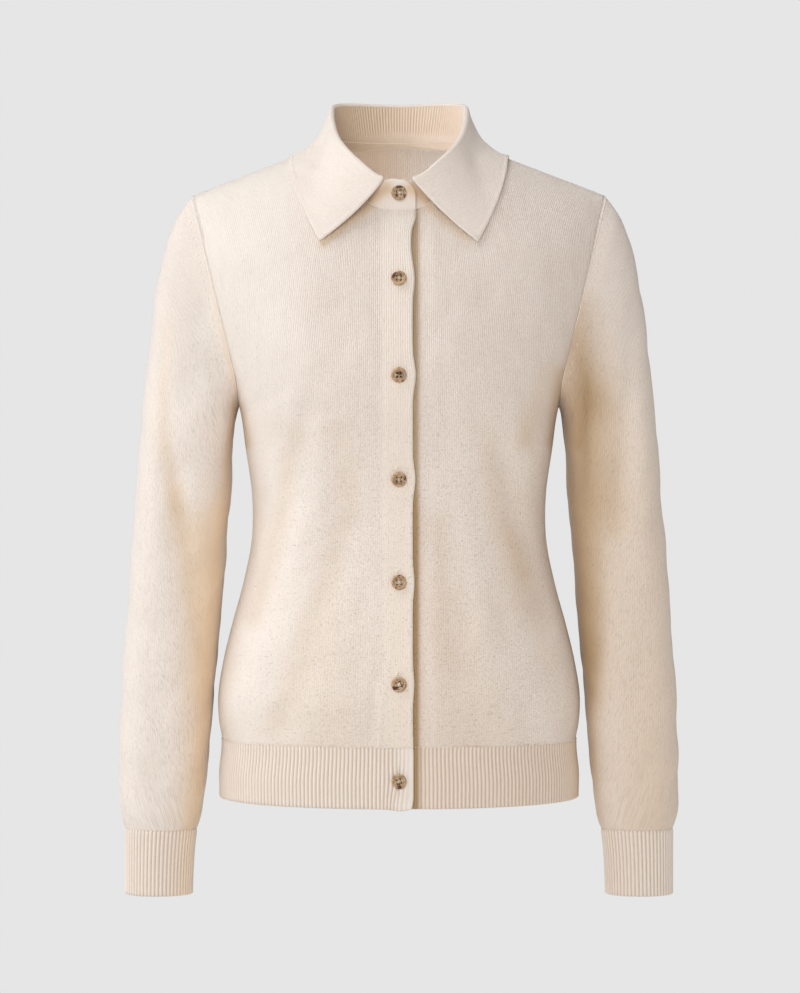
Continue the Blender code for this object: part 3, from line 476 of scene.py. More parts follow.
thread = {
    "pale": (0.93, 0.86, 0.77, 1.0), "deep": (0.82, 0.72, 0.60, 1.0), "grain": 2200.0, "grainDepth": 0.15,
    "surface": {"Roughness": 0.7, "Specular IOR Level": 0.3},
}


def threadMaterial():
    # sewing thread: pale cream with a fine grain
    material, tree, shader = newMaterial("sewingThread", **thread["surface"])
    place, grain, bump = (tree.nodes.new("ShaderNode" + kind) for kind in ("TexCoord", "TexNoise", "Bump"))
    grain.inputs["Scale"].default_value = thread["grain"]
    bump.inputs["Distance"].default_value = thread["grainDepth"] * mm
    tree.links.new(place.outputs["Object"], grain.inputs["Vector"])
    tree.links.new(grain.outputs["Fac"], bump.inputs["Height"])
    tree.links.new(bump.outputs[0], shader.inputs["Normal"])
    colour = colourMix(tree, grain.outputs["Fac"], thread["pale"], thread["deep"])
    tree.links.new(colour, shader.inputs["Base Color"])
    return material


plainKnit, sleeveKnit, collarKnit = (yarnMaterial(name) for name in ("plainKnit", "sleeveKnit", "collarKnit"))
ribKnit, seamYarn = yarnMaterial("ribKnit", ribbed=True), yarnMaterial("seamYarn")
buttonHorn, sewingThread = hornMaterial(), threadMaterial()
print("materials made")


body = {
    "wall": 1.3, "gap": 0.3, "neckX": 70.0, "tipX": 183.0, "tipZ": -43.0, "underarmX": 142.5, "underarmZ": -231.0,
    "hemTop": -528.0, "hemBottom": -580.0, "shoulderRound": 85.0, "neckRound": 25.0, "squareness": 2.4,
    "armSlant": -0.2, "underarmSlant": 0.38, "panelLean": 0.8,
    "frontEdge": -12.0, "underlapFade": (17.0, 32.0), "hangMiddle": 1.4, "hangSide": 2.4, "hangWidth": 157.0,
    "waves": ((0.55, 62.0, 3), (0.22, 23.0, 13)), "sideGroove": 0.5, "neckGroove": 0.25,
    "rows": 130, "armRows": 48, "perSpan": 8,
}  # waves: depth, length and seed

torso = sizeTable(("height", "halfWidth", "front", "back"), (
    (-582.0, 159.0, 108.0, 108.0),
    (-560.0, 159.5, 107.5, 108.5),
    (-528.0, 157.5, 106.0, 107.0),
    (-514.0, 160.0, 108.0, 110.0),
    (-494.0, 161.3, 109.5, 112.0),
    (-457.0, 156.5, 107.0, 111.5),
    (-427.0, 149.5, 102.5, 107.0),
    (-386.0, 138.5, 95.0, 98.0),
    (-350.0, 131.5, 94.0, 91.0),
    (-311.0, 131.0, 96.0, 89.0),
    (-270.0, 136.5, 105.0, 92.0),
    (-231.0, 142.5, 115.0, 97.0),
    (-200.0, 153.0, 116.0, 101.0),
    (-150.0, 170.0, 106.0, 105.0),
    (-110.0, 180.5, 94.0, 105.5),
    (-76.0, 189.0, 79.0, 103.0),
    (-43.0, 196.0, 69.0, 100.0),
    (0.0, 201.0, 63.0, 97.0),
    (30.0, 203.0, 61.0, 96.0),
))
armhole = sizeTable(("height", "side"), (
    (-231.0, 142.5), (-212.0, 142.8), (-187.0, 148.0), (-149.0, 157.0), (-112.0, 166.0), (-76.0, 174.5),
    (-43.0, 183.0),
))
# places of the panels' columns: share of the hem's width, and distance from the centre at the top
frontColumns = sizeTable(("hem", "top"), (
    (0.0, -12.0), (0.149, 17.0), (0.226, 32.0), (0.36, 46.0), (0.50, 57.0), (0.63, 65.0), (0.74, 70.0),
    (0.83, 100.0), (0.905, 128.0), (0.96, 152.0), (0.99, 170.0), (1.0, 183.0),
))
backColumns = sizeTable(("hem", "top"), (
    (0.0, 0.0), (0.15, 20.0), (0.30, 40.0), (0.44, 54.0), (0.57, 65.0), (0.69, 70.0),
    (0.79, 100.0), (0.875, 128.0), (0.94, 152.0), (0.985, 170.0), (1.0, 183.0),
))
frontNeck = sizeTable(("side", "height"), (
    (-12.0, -62.0), (0.0, -63.0), (12.0, -62.0), (25.0, -57.0), (40.0, -42.0), (50.0, -29.0), (60.0, -14.0),
    (65.0, -6.5), (70.0, 0.0),
))
backNeck = sizeTable(("side", "height"), (
    (-20.0, 4.9), (0.0, 7.0), (20.0, 4.9), (40.0, 1.5), (55.0, 0.3), (65.0, 0.0), (70.0, 0.0),
))
# soft troughs (depth above 0) and ridges of the cloth, between two points seen from the front; hand -1 is the
# wearer's right half, side -1 the front
bodyFolds = (
    {"side": -1, "hand": -1, "from": (78.0, -240.0), "to": (122.0, -418.0), "width": 12.0, "depth": 5.2},
    {"side": -1, "hand": -1, "from": (82.0, -330.0), "to": (132.0, -480.0), "width": 13.0, "depth": -2.8},
    {"side": -1, "hand": -1, "from": (44.0, -340.0), "to": (98.0, -506.0), "width": 15.0, "depth": 4.2},
    {"side": -1, "hand": 1, "from": (84.0, -258.0), "to": (130.0, -420.0), "width": 13.0, "depth": 5.2},
    {"side": -1, "hand": 1, "from": (54.0, -300.0), "to": (76.0, -430.0), "width": 16.0, "depth": -2.4},
    {"side": -1, "hand": 0, "from": (118.0, -236.0), "to": (98.0, -292.0), "width": 15.0, "depth": 3.0},
    {"side": -1, "hand": -1, "from": (44.0, -240.0), "to": (36.0, -330.0), "width": 18.0, "depth": 2.0},
    {"side": -1, "hand": 1, "from": (40.0, -262.0), "to": (48.0, -350.0), "width": 17.0, "depth": 1.2},
    {"side": -1, "hand": -1, "from": (60.0, -455.0), "to": (72.0, -524.0), "width": 14.0, "depth": 1.0},
    {"side": -1, "hand": 1, "from": (52.0, -448.0), "to": (66.0, -524.0), "width": 15.0, "depth": 1.2},
    {"side": -1, "hand": -1, "from": (13.5, -478.0), "to": (17.0, -530.0), "width": 3.2, "depth": -0.8},
    {"side": -1, "hand": -1, "from": (21.0, -470.0), "to": (25.0, -530.0), "width": 4.5, "depth": 0.8},
    {"side": -1, "hand": 1, "from": (104.0, -470.0), "to": (112.0, -524.0), "width": 12.0, "depth": 0.9},
    {"side": 1, "hand": 0, "from": (62.0, -292.0), "to": (112.0, -408.0), "width": 20.0, "depth": 4.5},
    {"side": 1, "hand": 0, "from": (120.0, -240.0), "to": (88.0, -300.0), "width": 17.0, "depth": 3.5},
    {"side": 1, "hand": -1, "from": (20.0, -300.0), "to": (52.0, -360.0), "width": 18.0, "depth": 1.6},
    {"side": 1, "hand": 1, "from": (30.0, -330.0), "to": (58.0, -392.0), "width": 17.0, "depth": 1.6},
)
# soft strokes of painted shade, warm and dark, in folds, under the leaf's edge and by the underarm: distance from
# the centre and height of each line's points, half width, and the amounts at the line's two ends
bodyShadeStrokes = {
    "frontRight": (
        {"path": ((141, -234), (136, -264)), "width": 6.0, "warmShade": (0.8, 0.8), "darkShade": (0.4, 0.3)},
        {"path": ((15, -50), (30, -62), (66, -92)), "width": 4.0, "warmShade": (0.95, 0.7), "darkShade": (0.6, 0.2)},
        {"path": ((91, -254), (99, -314), (112, -365), (127, -417)), "width": 9.0,
         "warmShade": (0.12, 0.15), "darkShade": (0.05, 0.12)},
        {"path": ((50, -254), (42, -314), (57, -365), (69, -417), (88, -468), (106, -511)), "width": 12.0,
         "warmShade": (0.1, 0.1), "darkShade": (0.04, 0.08)},
        {"path": ((56, -430), (70, -540)), "width": 46.0, "warmShade": (0.08, 0.12), "darkShade": (0.05, 0.1)},
        {"path": ((0, -90), (0, -560)), "width": 13.0, "warmShade": (0.12, 0.22)},
    ),
    "frontLeft": (
        {"path": ((142, -205), (139, -262)), "width": 8.0, "warmShade": (0.4, 0.9), "darkShade": (0.3, 0.75)},
        {"path": ((128, -205), (110, -262)), "width": 9.0, "warmShade": (0.1, 0.3), "darkShade": (0.05, 0.2)},
        {"path": ((14, -49), (30, -62), (60, -87)), "width": 3.4, "warmShade": (0.9, 0.5), "darkShade": (0.4, 0.12)},
        {"path": ((73, -254), (82, -314), (108, -378)), "width": 9.0, "warmShade": (0.08, 0.16), "darkShade": (0.03, 0.11)},
        {"path": ((96, -345), (118, -410), (131, -458), (140, -500)), "width": 10.0,
         "warmShade": (0.14, 0.05), "darkShade": (0.08, 0.0)},
        {"path": ((92, -300), (108, -400)), "width": 24.0, "warmShade": (0.05, 0.1), "darkShade": (0.08, 0.12)},
        {"path": ((33, -335), (36, -400), (42, -450)), "width": 14.0, "warmShade": (0.08, 0.08), "darkShade": (0.12, 0.12)},
        {"path": ((40, -430), (60, -540)), "width": 50.0, "warmShade": (0.1, 0.14), "darkShade": (0.1, 0.16)},
    ),
    "back": (
        {"path": ((141, -232), (137, -262)), "width": 9.0, "warmShade": (0.5, 0.5), "darkShade": (0.2, 0.2)},
    ),
}


def shoulderLine(x):
    # straight shoulder slope, with a round top in place of a peak over the neck
    out = np.abs(x)
    out = np.where(out < body["neckRound"], (out**2 / body["neckRound"] + body["neckRound"]) / 2, out)
    return body["tipZ"] * (out - body["neckX"]) / (body["tipX"] - body["neckX"])


def foldDepth(side, hand, x, z):
    # sum over the folds of depth times a bell across the distance to the fold's line
    inward = np.zeros(np.broadcast(x, z).shape)
    for fold in bodyFolds:
        if fold["side"] != side or hand is None:
            continue
        (x0, z0), (x1, z1) = fold["from"], fold["to"]
        t = np.clip(((np.abs(x) - x0) * (x1 - x0) + (z - z0) * (z1 - z0)) / ((x1 - x0) ** 2 + (z1 - z0) ** 2), 0, 1)
        away = (np.abs(x) - x0 - t * (x1 - x0)) ** 2 + (z - z0 - t * (z1 - z0)) ** 2
        half = 1.0 if fold["hand"] == 0 else (x * hand * fold["hand"] > 0)
        inward = inward + fold["depth"] * half * np.exp(-away / fold["width"] ** 2)
    return inward


def bodyDepth(side, x, z, hand=None):
    # a rounded-square section as deep as the table says, rounded over to the shoulder seam at its top
    depth = sizeAt(torso, "front" if side < 0 else "back", z) - foldDepth(side, hand, x, z)
    across = np.clip(np.abs(x) / sizeAt(torso, "halfWidth", z), 0.0, 1.0)
    around = (1.0 - across ** body["squareness"]) ** (1.0 / body["squareness"])
    below = np.clip((shoulderLine(x) - z) / body["shoulderRound"], 0.0, 1.0)
    return np.maximum(depth * around * np.sqrt(1.0 - (1.0 - below) ** 2), body["gap"] / 2)


def bodyNormal(side, x, z, hand=None):
    # way out of the cloth, across the depth's slopes to the side and up over a short step d
    d = 0.25
    across = (bodyDepth(side, x + d, z, hand) - bodyDepth(side, x - d, z, hand)) / (2 * d)
    up = (bodyDepth(side, x, z + d, hand) - bodyDepth(side, x, z - d, hand)) / (2 * d)
    return unit(np.stack((-across, side * np.ones_like(up), -up), axis=-1))


def sideX(z):
    # half the body's width at a height: the side seam's below the underarm, the armhole's above it
    return np.where(z < body["underarmZ"], sizeAt(torso, "halfWidth", z), sizeAt(armhole, "side", z))


def armHeights():
    # heights up the armhole, closest together at both ends: their middle plus half their range times a cosine
    angle = np.linspace(math.pi, 0.0, body["armRows"] + 1)
    return (body["tipZ"] + body["underarmZ"]) / 2 + (body["tipZ"] - body["underarmZ"]) / 2 * np.cos(angle)


def underarmShare(z):
    # 1 at the underarm and falling off fast above it: the way down from the shoulder tip, as a share, to the power 4
    return ((body["tipZ"] - z) / (body["tipZ"] - body["underarmZ"])) ** 4


def armholeFrame(side):
    # points of the armhole seam from the underarm up, the way across it, and the way in through the wall
    z = armHeights()
    x = sizeAt(armhole, "side", z)
    points = np.stack((x, side * bodyDepth(side, x, z), z), axis=-1)
    loop = np.concatenate((points[1:2] * (1, -1, 1), points, points[-2:-1] * (1, -1, 1)))
    run = unit(loop[2:] - loop[:-2])
    slant = body["armSlant"] + body["underarmSlant"] * underarmShare(z) ** 1.5
    across = unit(np.stack((np.ones_like(z), np.zeros_like(z), slant), axis=-1))
    return points, across, unit(np.cross(run, across)) * -side


def underRight(x):
    # 1 where the left front lies under the right one, 0 beyond
    return 1.0 - ramp(x, *body["underlapFade"])


def topHeight(side, x):
    # height of a panel's top edge: the neckline as far as the neck point, the shoulder's slope beyond
    neckline = frontNeck if side < 0 else backNeck
    return np.where(np.abs(x) < body["neckX"], sizeAt(neckline, "height", np.abs(x)), shoulderLine(x))


def bodyPanel(side, hand, start, columns, underlap=0.0):
    # columns run from their places across the hem to their distances from the centre at the neckline or shoulder,
    # rows from the hem up; every point stands as far forward or back as the body section at its height
    low, top = columns
    seamRows = np.linspace(body["hemTop"] + body["gap"] / 2, body["underarmZ"], body["rows"] + 1)[:-1]
    edge = np.concatenate((seamRows, armHeights()))
    rise = ((edge - edge[0]) / (body["tipZ"] - edge[0]))[:, None]
    place = low + ramp(rise, 0.5, 1.0) * ((top - start) / (body["tipX"] - start) - low)
    z = edge[0] + rise * (topHeight(side, top) - edge[0])
    seam = np.abs(low) > 0.99999
    z[:, seam] = edge[:, None]
    x = start + place * (sideX(z) - start)
    x[-1] = top
    y = side * bodyDepth(side, x, z, hand)
    normal = bodyNormal(side, x, z, hand)
    way = np.where(x < 0, -1.0, 1.0)
    slope = sideX(z + 0.5) - sideX(z - 0.5)
    normal[:, seam] = unit(np.stack((way, 0 * x, -slope), axis=-1))[:, seam]
    shoulder = np.abs(x[-1]) >= body["neckX"] - 0.01
    fall = -body["tipZ"] / (body["tipX"] - body["neckX"])
    normal[-1, shoulder] = unit(np.stack((fall * way[-1], 0 * x[-1], 1 + 0 * x[-1]), axis=-1))[shoulder]
    normal[0, :, 2] = 0.0
    normal = unit(normal)
    outer = np.stack((x, y, z), axis=-1)
    outer[..., 1] -= side * underlap * underRight(x)
    return outer, normal


def finishPanel(side, hand, low, outer, normal):
    # inner points behind the outer ones, with both meeting the sleeve across the armhole seam
    inner = outer - body["wall"] * normal
    points, across, inward = armholeFrame(side)
    rows = body["rows"]
    for column in np.flatnonzero(np.abs(low) > 0.99999):
        flip = np.array((np.sign(low[column]), 1.0, 1.0))
        outer[rows:, column] = (points - across * body["gap"] / 2) * flip
        lean = body["panelLean"] * underarmShare(points[:, 2:]) * normal[rows:, column] * flip
        inner[rows:, column] = outer[rows:, column] + body["wall"] * unit(inward - lean) * flip
    for layer in (inner, outer):
        layer[..., 1] = side * np.maximum(side * layer[..., 1], body["gap"] / 2)
    turn = np.array((hand, 1.0, 1.0))
    return outer * turn, inner * turn


buttonHeights = np.array((-47.5, -123.8, -207.3, -296.0, -385.0, -473.0, -556.5))
# the band is raised as far as the two distances of its fade; pullOut has a value for each button, from the neck down
placket = {
    "raise": 0.45, "fade": (10.5, 13.5), "edgeLift": 0.5, "edgeWidth": 4.0, "dimple": 0.8, "dimpleWidth": 9.0,
    "bulge": 0.5, "pullOut": (0.0, 1.8, 2.7, 2.3, 1.5, 1.3, 0.8), "pullHeight": 13.0, "pullWidth": 9.0,
    "pullIn": 1.3, "topOut": 2.9, "allIn": 0.5,
}
# painted light on the band and the lit flank, painted shadow beside the right front's edge and its wider tail lower
# down
panelShading = {"bandPaintedLight": 0.6, "flankPaintedLight": 0.6, "edgeShadow": 0.85, "tailShadow": 0.22}


def buttonPull(z):
    # 1 beside each button, falling off above and below
    return sum(hump(z, height, placket["pullHeight"]) for height in buttonHeights)


def placketDetail(x, z, hand):
    # how far the band and the cloth round it stand out: a slightly thicker band, a lifted free edge between buttons,
    # a dimple under each button and a small bulge beside it
    out = placket["raise"] * (1.0 - ramp(x, *placket["fade"]))
    if hand < 0:
        edge = hump(x, body["frontEdge"], placket["edgeWidth"])
        out = out + placket["edgeLift"] * edge * (1.0 - 0.8 * buttonPull(z))
        for height in buttonHeights[1:]:
            out = out - placket["dimple"] * np.exp(-(x**2 + (z - height) ** 2) / placket["dimpleWidth"] ** 2)
            out = out + placket["bulge"] * np.exp(-((x - 15) ** 2 / 8.0**2 + (z - height) ** 2 / 5.0**2))
    return out


def settle(points):
    # the lower body hangs a little higher, and its sides higher than its middle by the square of their distance
    x, z = points[..., 0], points[..., 2]
    points = points.copy()
    middle, side = body["hangMiddle"] * ramp(-z, 400.0, 528.0), body["hangSide"] * (x / body["hangWidth"]) ** 2
    points[..., 2] += middle + side * ramp(-z, 480.0, 600.0)
    return points


def seamGroove(distance, depth, width=2.2):
    # shallow dip along a seam: minus the depth times a bell of the distance
    return -depth * hump(distance, 0.0, width)


frontPlaces = [finer(frontColumns[name], body["perSpan"]) for name in ("hem", "top")]
halfBack = [finer(backColumns[name], body["perSpan"]) for name in ("hem", "top")]
backPlaces = [np.concatenate((-half[:0:-1], half)) for half in halfBack]

panels = {}
for name, side, hand, start, columns, underlap in (
    ("frontRight", -1, -1, body["frontEdge"], frontPlaces, 0.0),
    ("frontLeft", -1, 1, body["frontEdge"], frontPlaces, 2.7),
    ("back", 1, 1, 0.0, backPlaces, 0.0),
):
    outer, normal = bodyPanel(side, hand, start, columns, underlap)
    x, z = outer[..., 0].copy(), outer[..., 2].copy()
    across = lengthAlong(outer, 1)
    if side > 0:
        across = across - across[:, across.shape[1] // 2][:, None]
    along = lengthAlong(outer, 0)
    aboveHem = ramp(z, body["hemTop"], body["hemTop"] + 22.0)
    detail = sum(depth * softWaves(x * hand, z, seed + hand + side, size) * aboveHem
                 for depth, size, seed in body["waves"])
    if side < 0:
        besideBand = ramp(x, -body["frontEdge"], 34.0)
        detail = detail * besideBand + placketDetail(x, z, hand) * ramp(z, -600.0, -520.0)
    toSide = np.abs(sideX(z) - np.abs(x))
    toShoulder = np.where(np.abs(x) > body["neckX"] - 4, np.abs(shoulderLine(x) - z), 99.0)
    toNeck = np.where(np.abs(x) <= body["neckX"] + 2, np.abs(topHeight(side, x) - z), 99.0)
    near = np.minimum(np.minimum(toSide, toShoulder), toNeck)
    detail = detail * ramp(near, 0.0, 14.0)
    detail = detail + seamGroove(toSide, body["sideGroove"]) + seamGroove(toNeck, body["neckGroove"], 1.8)
    outer = outer + normal * detail[..., None]
    if name == "frontRight":
        edge = hump(x, body["frontEdge"], placket["pullWidth"])
        wave = sum(amount * hump(z, height, placket["pullHeight"])
                   for amount, height in zip(placket["pullOut"], buttonHeights))
        wave = wave * ramp(-z, 70.0, 90.0) - placket["pullIn"] * hump(z, -92.0, 15.0)
        wave = wave + placket["topOut"] * ramp(z, -82.0, -68.0) - placket["allIn"]
        outer[..., 0] -= edge * wave * ramp(z, body["hemTop"], body["hemTop"] + 23.0)
    # painted warm and dark shade from the strokes; painted light on the band and the lit flank of the right front
    marks = {mark: strokeAmount(bodyShadeStrokes[name], mark, np.abs(x), z) for mark in ("warmShade", "darkShade")}
    band, flank = 1.0 - ramp(x, 8.0, 20.0), ramp(x, 50.0, 115.0)
    marks["pale"] = (panelShading["bandPaintedLight"] * band + panelShading["flankPaintedLight"] * flank) * (hand < 0) + 0 * z
    # painted shadow cast by the right front's edge onto the left front, wider lower down
    if name == "frontLeft":
        away, tail = x + body["frontEdge"], panelShading["tailShadow"] * ramp(-z, 290.0, 340.0)
        edgeShade = panelShading["edgeShadow"] * (1.0 - ramp(away, 2.6, 7.8)) + tail * (1.0 - ramp(away, 3.0, 17.0))
        marks["darkShade"] = np.maximum(marks["darkShade"], edgeShade * ramp(x, -4.0, 8.0))
    # painted shade on the inner side, warm and darker towards the wearer's right; the back's inside is painted
    # lighter to the left
    insideShading = {"warmShade": 0.3 + 0 * z, "darkShade": 0.28 * (1.0 - ramp(x * hand, -55.0, 45.0))}
    if name == "back":
        insideShading = {"warmShade": 0.45 * (1.0 - ramp(x, -40.0, 45.0)), "pale": 0.7 * ramp(x, -20.0, 40.0),
                  "darkShade": 0.42 * (1.0 - ramp(x, -60.0, 30.0))}
    outer, inner = (settle(layer) for layer in finishPanel(side, hand, columns[0], outer, normal))
    cloth = np.stack((across, along), -1)
    panels[name] = {"outer": outer, "inner": inner, "insideShading": insideShading, "cloth": cloth, "marks": marks}

for name, node in (("frontRight", "front_right"), ("frontLeft", "front_left"), ("back", "back")):
    panel = panels[name]
    panel["piece"] = clothShell(
        "backPanel" if name == "back" else name, panel["outer"], panel["inner"], panel["cloth"], marks=panel["marks"],
        inside=panel["insideShading"], material=plainKnit, nodes=(node,), slot="plain_knit"
    )
print("fronts and back made")


hem = {
    "frontRibs": 66, "backRibs": 120, "perRib": 8, "rows": 24, "raise": 1.0, "wall": 1.3, "plainEdge": 7.0,
    "topDip": 0.2, "edgeRoll": 0.15, "leanFrom": -556.0, "leanDown": 2.6, "leanAside": 1.32, "dimple": 0.5,
    "cornerOut": 1.2, "cornerDrop": 1.8,
}


def evenPlaces(side, start, z, count):
    # places across a section with equal lengths of cloth between them
    places = np.linspace(-1.0 if side > 0 else 0.0, 1.0, 4001)
    x = start + places * (sideX(z) - start)
    length = lengthAlong(np.stack((x, bodyDepth(side, x, z)), axis=-1), 0)
    return np.interp(np.linspace(0.0, length[-1], count + 1), length, places)


def ribProfile(phase):
    # one rib per turn: a broad round crest and a narrow groove
    return 1.0 - 2.0 * np.abs(np.cos(math.pi * phase)) ** 2.6


def hemPiece(name, side, hand, start, ribs, node, underlap=0.0):
    # the body section at each height, pushed in and out by the ribs; rib lines lean a little round the lowest button
    count = ribs * hem["perRib"]
    places = evenPlaces(side, start, (body["hemTop"] + body["hemBottom"]) / 2, count)
    z = np.linspace(body["hemBottom"], body["hemTop"] - body["gap"] / 2, hem["rows"])[:, None]
    places, z = np.broadcast_arrays(places[None, :], z)
    x = start + places * (sideX(z) - start)
    normal = bodyNormal(side, x, z)
    normal[..., 2] = 0.0
    normal[np.abs(places) > 0.99999] = (1.0, 0.0, 0.0)
    normal[places < -0.99999] = (-1.0, 0.0, 0.0)
    normal = unit(normal)
    outer = np.stack((x, side * bodyDepth(side, x, z), z), axis=-1)
    outer[..., 1] -= side * underlap * underRight(x)
    phase = np.arange(count + 1) / hem["perRib"]
    level = (z - body["hemBottom"]) / (body["hemTop"] - body["hemBottom"])
    strength = np.ones_like(x)
    if side < 0:
        strength = ramp(x, body["frontEdge"], body["frontEdge"] + hem["plainEdge"]) if hand < 0 else strength
    fadeTop = 1.0 - 0.8 * ramp(level, 0.965, 1.0)
    lift = hem["raise"] / 2 * ribProfile(phase)[None, :] * strength * fadeTop * (0.8 + 0.2 * (hand > 0))
    lift = lift - hem["topDip"] * hump(level, 1.0, 0.022) + hem["edgeRoll"] * hump(level, 0.03, 0.06)
    if name == "hemFrontRight":
        below, beside = ramp(z, hem["leanFrom"], body["hemBottom"]), hump(z, hem["leanFrom"], 9.0) * np.sign(x + 0.1)
        lean = hump(x, -2.0, 12.0) * (hem["leanDown"] * below - hem["leanAside"] * beside)
        outer[..., 0] += lean * (1 - hump(x, body["frontEdge"], 4.0))
        corner = hem["cornerOut"] * hump(x, body["frontEdge"], 5.0) * hump(z, body["hemBottom"], 6.0)
        outer[..., 2] += corner - hem["cornerDrop"] * hump(x, -7.0, 13.0) * ramp(level, 0.4, 0.0)
        outer[..., 0] += corner
        fromButton = x**2 + (z - buttonHeights[-1]) ** 2
        lift = lift - hem["dimple"] * np.exp(-fromButton / placket["dimpleWidth"] ** 2)
    back = outer - normal * (hem["raise"] / 2 + hem["wall"])
    outer = outer + normal * lift[..., None]
    for layer in (outer, back):
        layer[..., 1] = side * np.maximum(side * layer[..., 1], body["gap"] / 2)
    turn = np.array((hand, 1.0, 1.0))
    cloth = np.stack(np.broadcast_arrays(phase[None, :] * ribWidth, z - body["hemBottom"]), -1)
    # painted warm shade near the sides of the left front and back, and on the inner side
    marks = {"ribs": strength, "warmShade": 0.25 * ramp(np.abs(x) / sideX(z), 0.85, 1.0) * (hand > 0),
             "darkShade": 0 * x, "pale": 0 * x}
    # painted shadow of the right front's edge, and a shade growing towards the side
    if name == "hemFrontLeft":
        marks["darkShade"] = (0.8 * (1.0 - ramp(x, 14.0, 20.5)) + 0.2 * (1.0 - ramp(x, 15.0, 29.0))) * ramp(x, -4.0, 8.0)
        marks["darkShade"] = np.maximum(marks["darkShade"], 0.08 + 0.10 * ramp(x, 60.0, 140.0))
        marks["warmShade"] = marks["warmShade"] + 0.10
    # painted light along the right front's edge
    if name == "hemFrontRight":
        marks["pale"] = 0.6 * (1.0 - ramp(x, -4.0, 6.0))
    outer, back = settle(outer * turn), settle(back * turn)
    piece = clothShell(name, outer, back, cloth, marks=marks, inside={"warmShade": 0.3},
                       material=ribKnit, nodes=(node,), slot="rib_knit")
    return piece, outer, normal * turn


hemPieces = {}
for name, side, hand, start, ribs, node, underlap in (
    ("hemFrontRight", -1, -1, body["frontEdge"], hem["frontRibs"], "hem_front_right", 0.0),
    ("hemFrontLeft", -1, 1, body["frontEdge"], hem["frontRibs"], "hem_front_left", 2.6),
    ("hemBack", 1, 1, 0.0, hem["backRibs"], "hem_back", 0.0),
):
    hemPieces[name] = hemPiece(name, side, hand, start, ribs, node, underlap)
print("hem made")


sleeve = {
    "rows": 170, "wall": 1.3, "squareness": 2.7, "boxyUntil": (10.0, 13.8), "shorter": 3.0,
    "waves": ((0.6, 58.0, 31), (0.2, 21.0, 41)), "waveRound": 45.0, "seamGroove": 0.3, "cuffGroove": 0.35,
}  # waves: depth, length and seed
arm = sizeTable(("station", "overX", "overZ", "underX", "underZ", "depth", "forward", "freed"), (
    (0.0, 183.0, -43.0, 142.5, -231.0, 49.0, 0.0, 0.0),
    (1.0, 197.5, -63.0, 144.3, -237.0, 50.0, 0.0, 0.30),
    (2.0, 209.0, -98.0, 145.4, -244.0, 51.5, 0.0, 0.58),
    (3.0, 217.0, -142.0, 146.3, -252.0, 53.0, 0.0, 0.80),
    (4.0, 223.5, -198.0, 147.2, -264.0, 54.0, 0.0, 0.94),
    (5.0, 228.5, -250.0, 148.7, -284.0, 54.0, 0.5, 1.0),
    (6.0, 232.0, -300.0, 151.0, -318.0, 52.5, 1.5, 1.0),
    (7.0, 236.0, -350.0, 153.8, -357.0, 50.5, 3.0, 1.0),
    (8.0, 239.5, -398.0, 157.0, -400.0, 48.0, 5.0, 1.0),
    (9.0, 242.7, -446.0, 160.8, -446.0, 45.0, 8.0, 1.0),
    (10.0, 245.2, -492.0, 164.4, -492.0, 42.0, 11.0, 1.0),
    (11.0, 246.8, -536.0, 168.2, -536.0, 38.5, 14.5, 1.0),
    (12.0, 247.0, -572.0, 171.7, -572.0, 34.5, 17.0, 1.0),
    (13.0, 245.6, -594.0, 174.8, -594.0, 30.5, 18.5, 1.0),
    (14.0, 242.3, -606.85, 178.3, -606.85, 27.8, 19.0, 1.0),
))
cuff = {
    "ribs": 54, "perRib": 8, "rows": 26, "raise": 0.85, "wall": 1.3, "bottom": -664.0, "top": -607.0,
    "topDip": 0.4, "edgeRoll": 0.12,
}
cuffRings = sizeTable(("height", "overX", "underX", "depth", "forward"), (
    (-664.0, 241.8, 182.6, 26.3, 21.0),
    (-645.0, 241.9, 182.0, 26.4, 20.3),
    (-625.0, 242.0, 180.8, 26.8, 19.6),
    (-607.0, 242.2, 178.8, 27.6, 19.0),
))
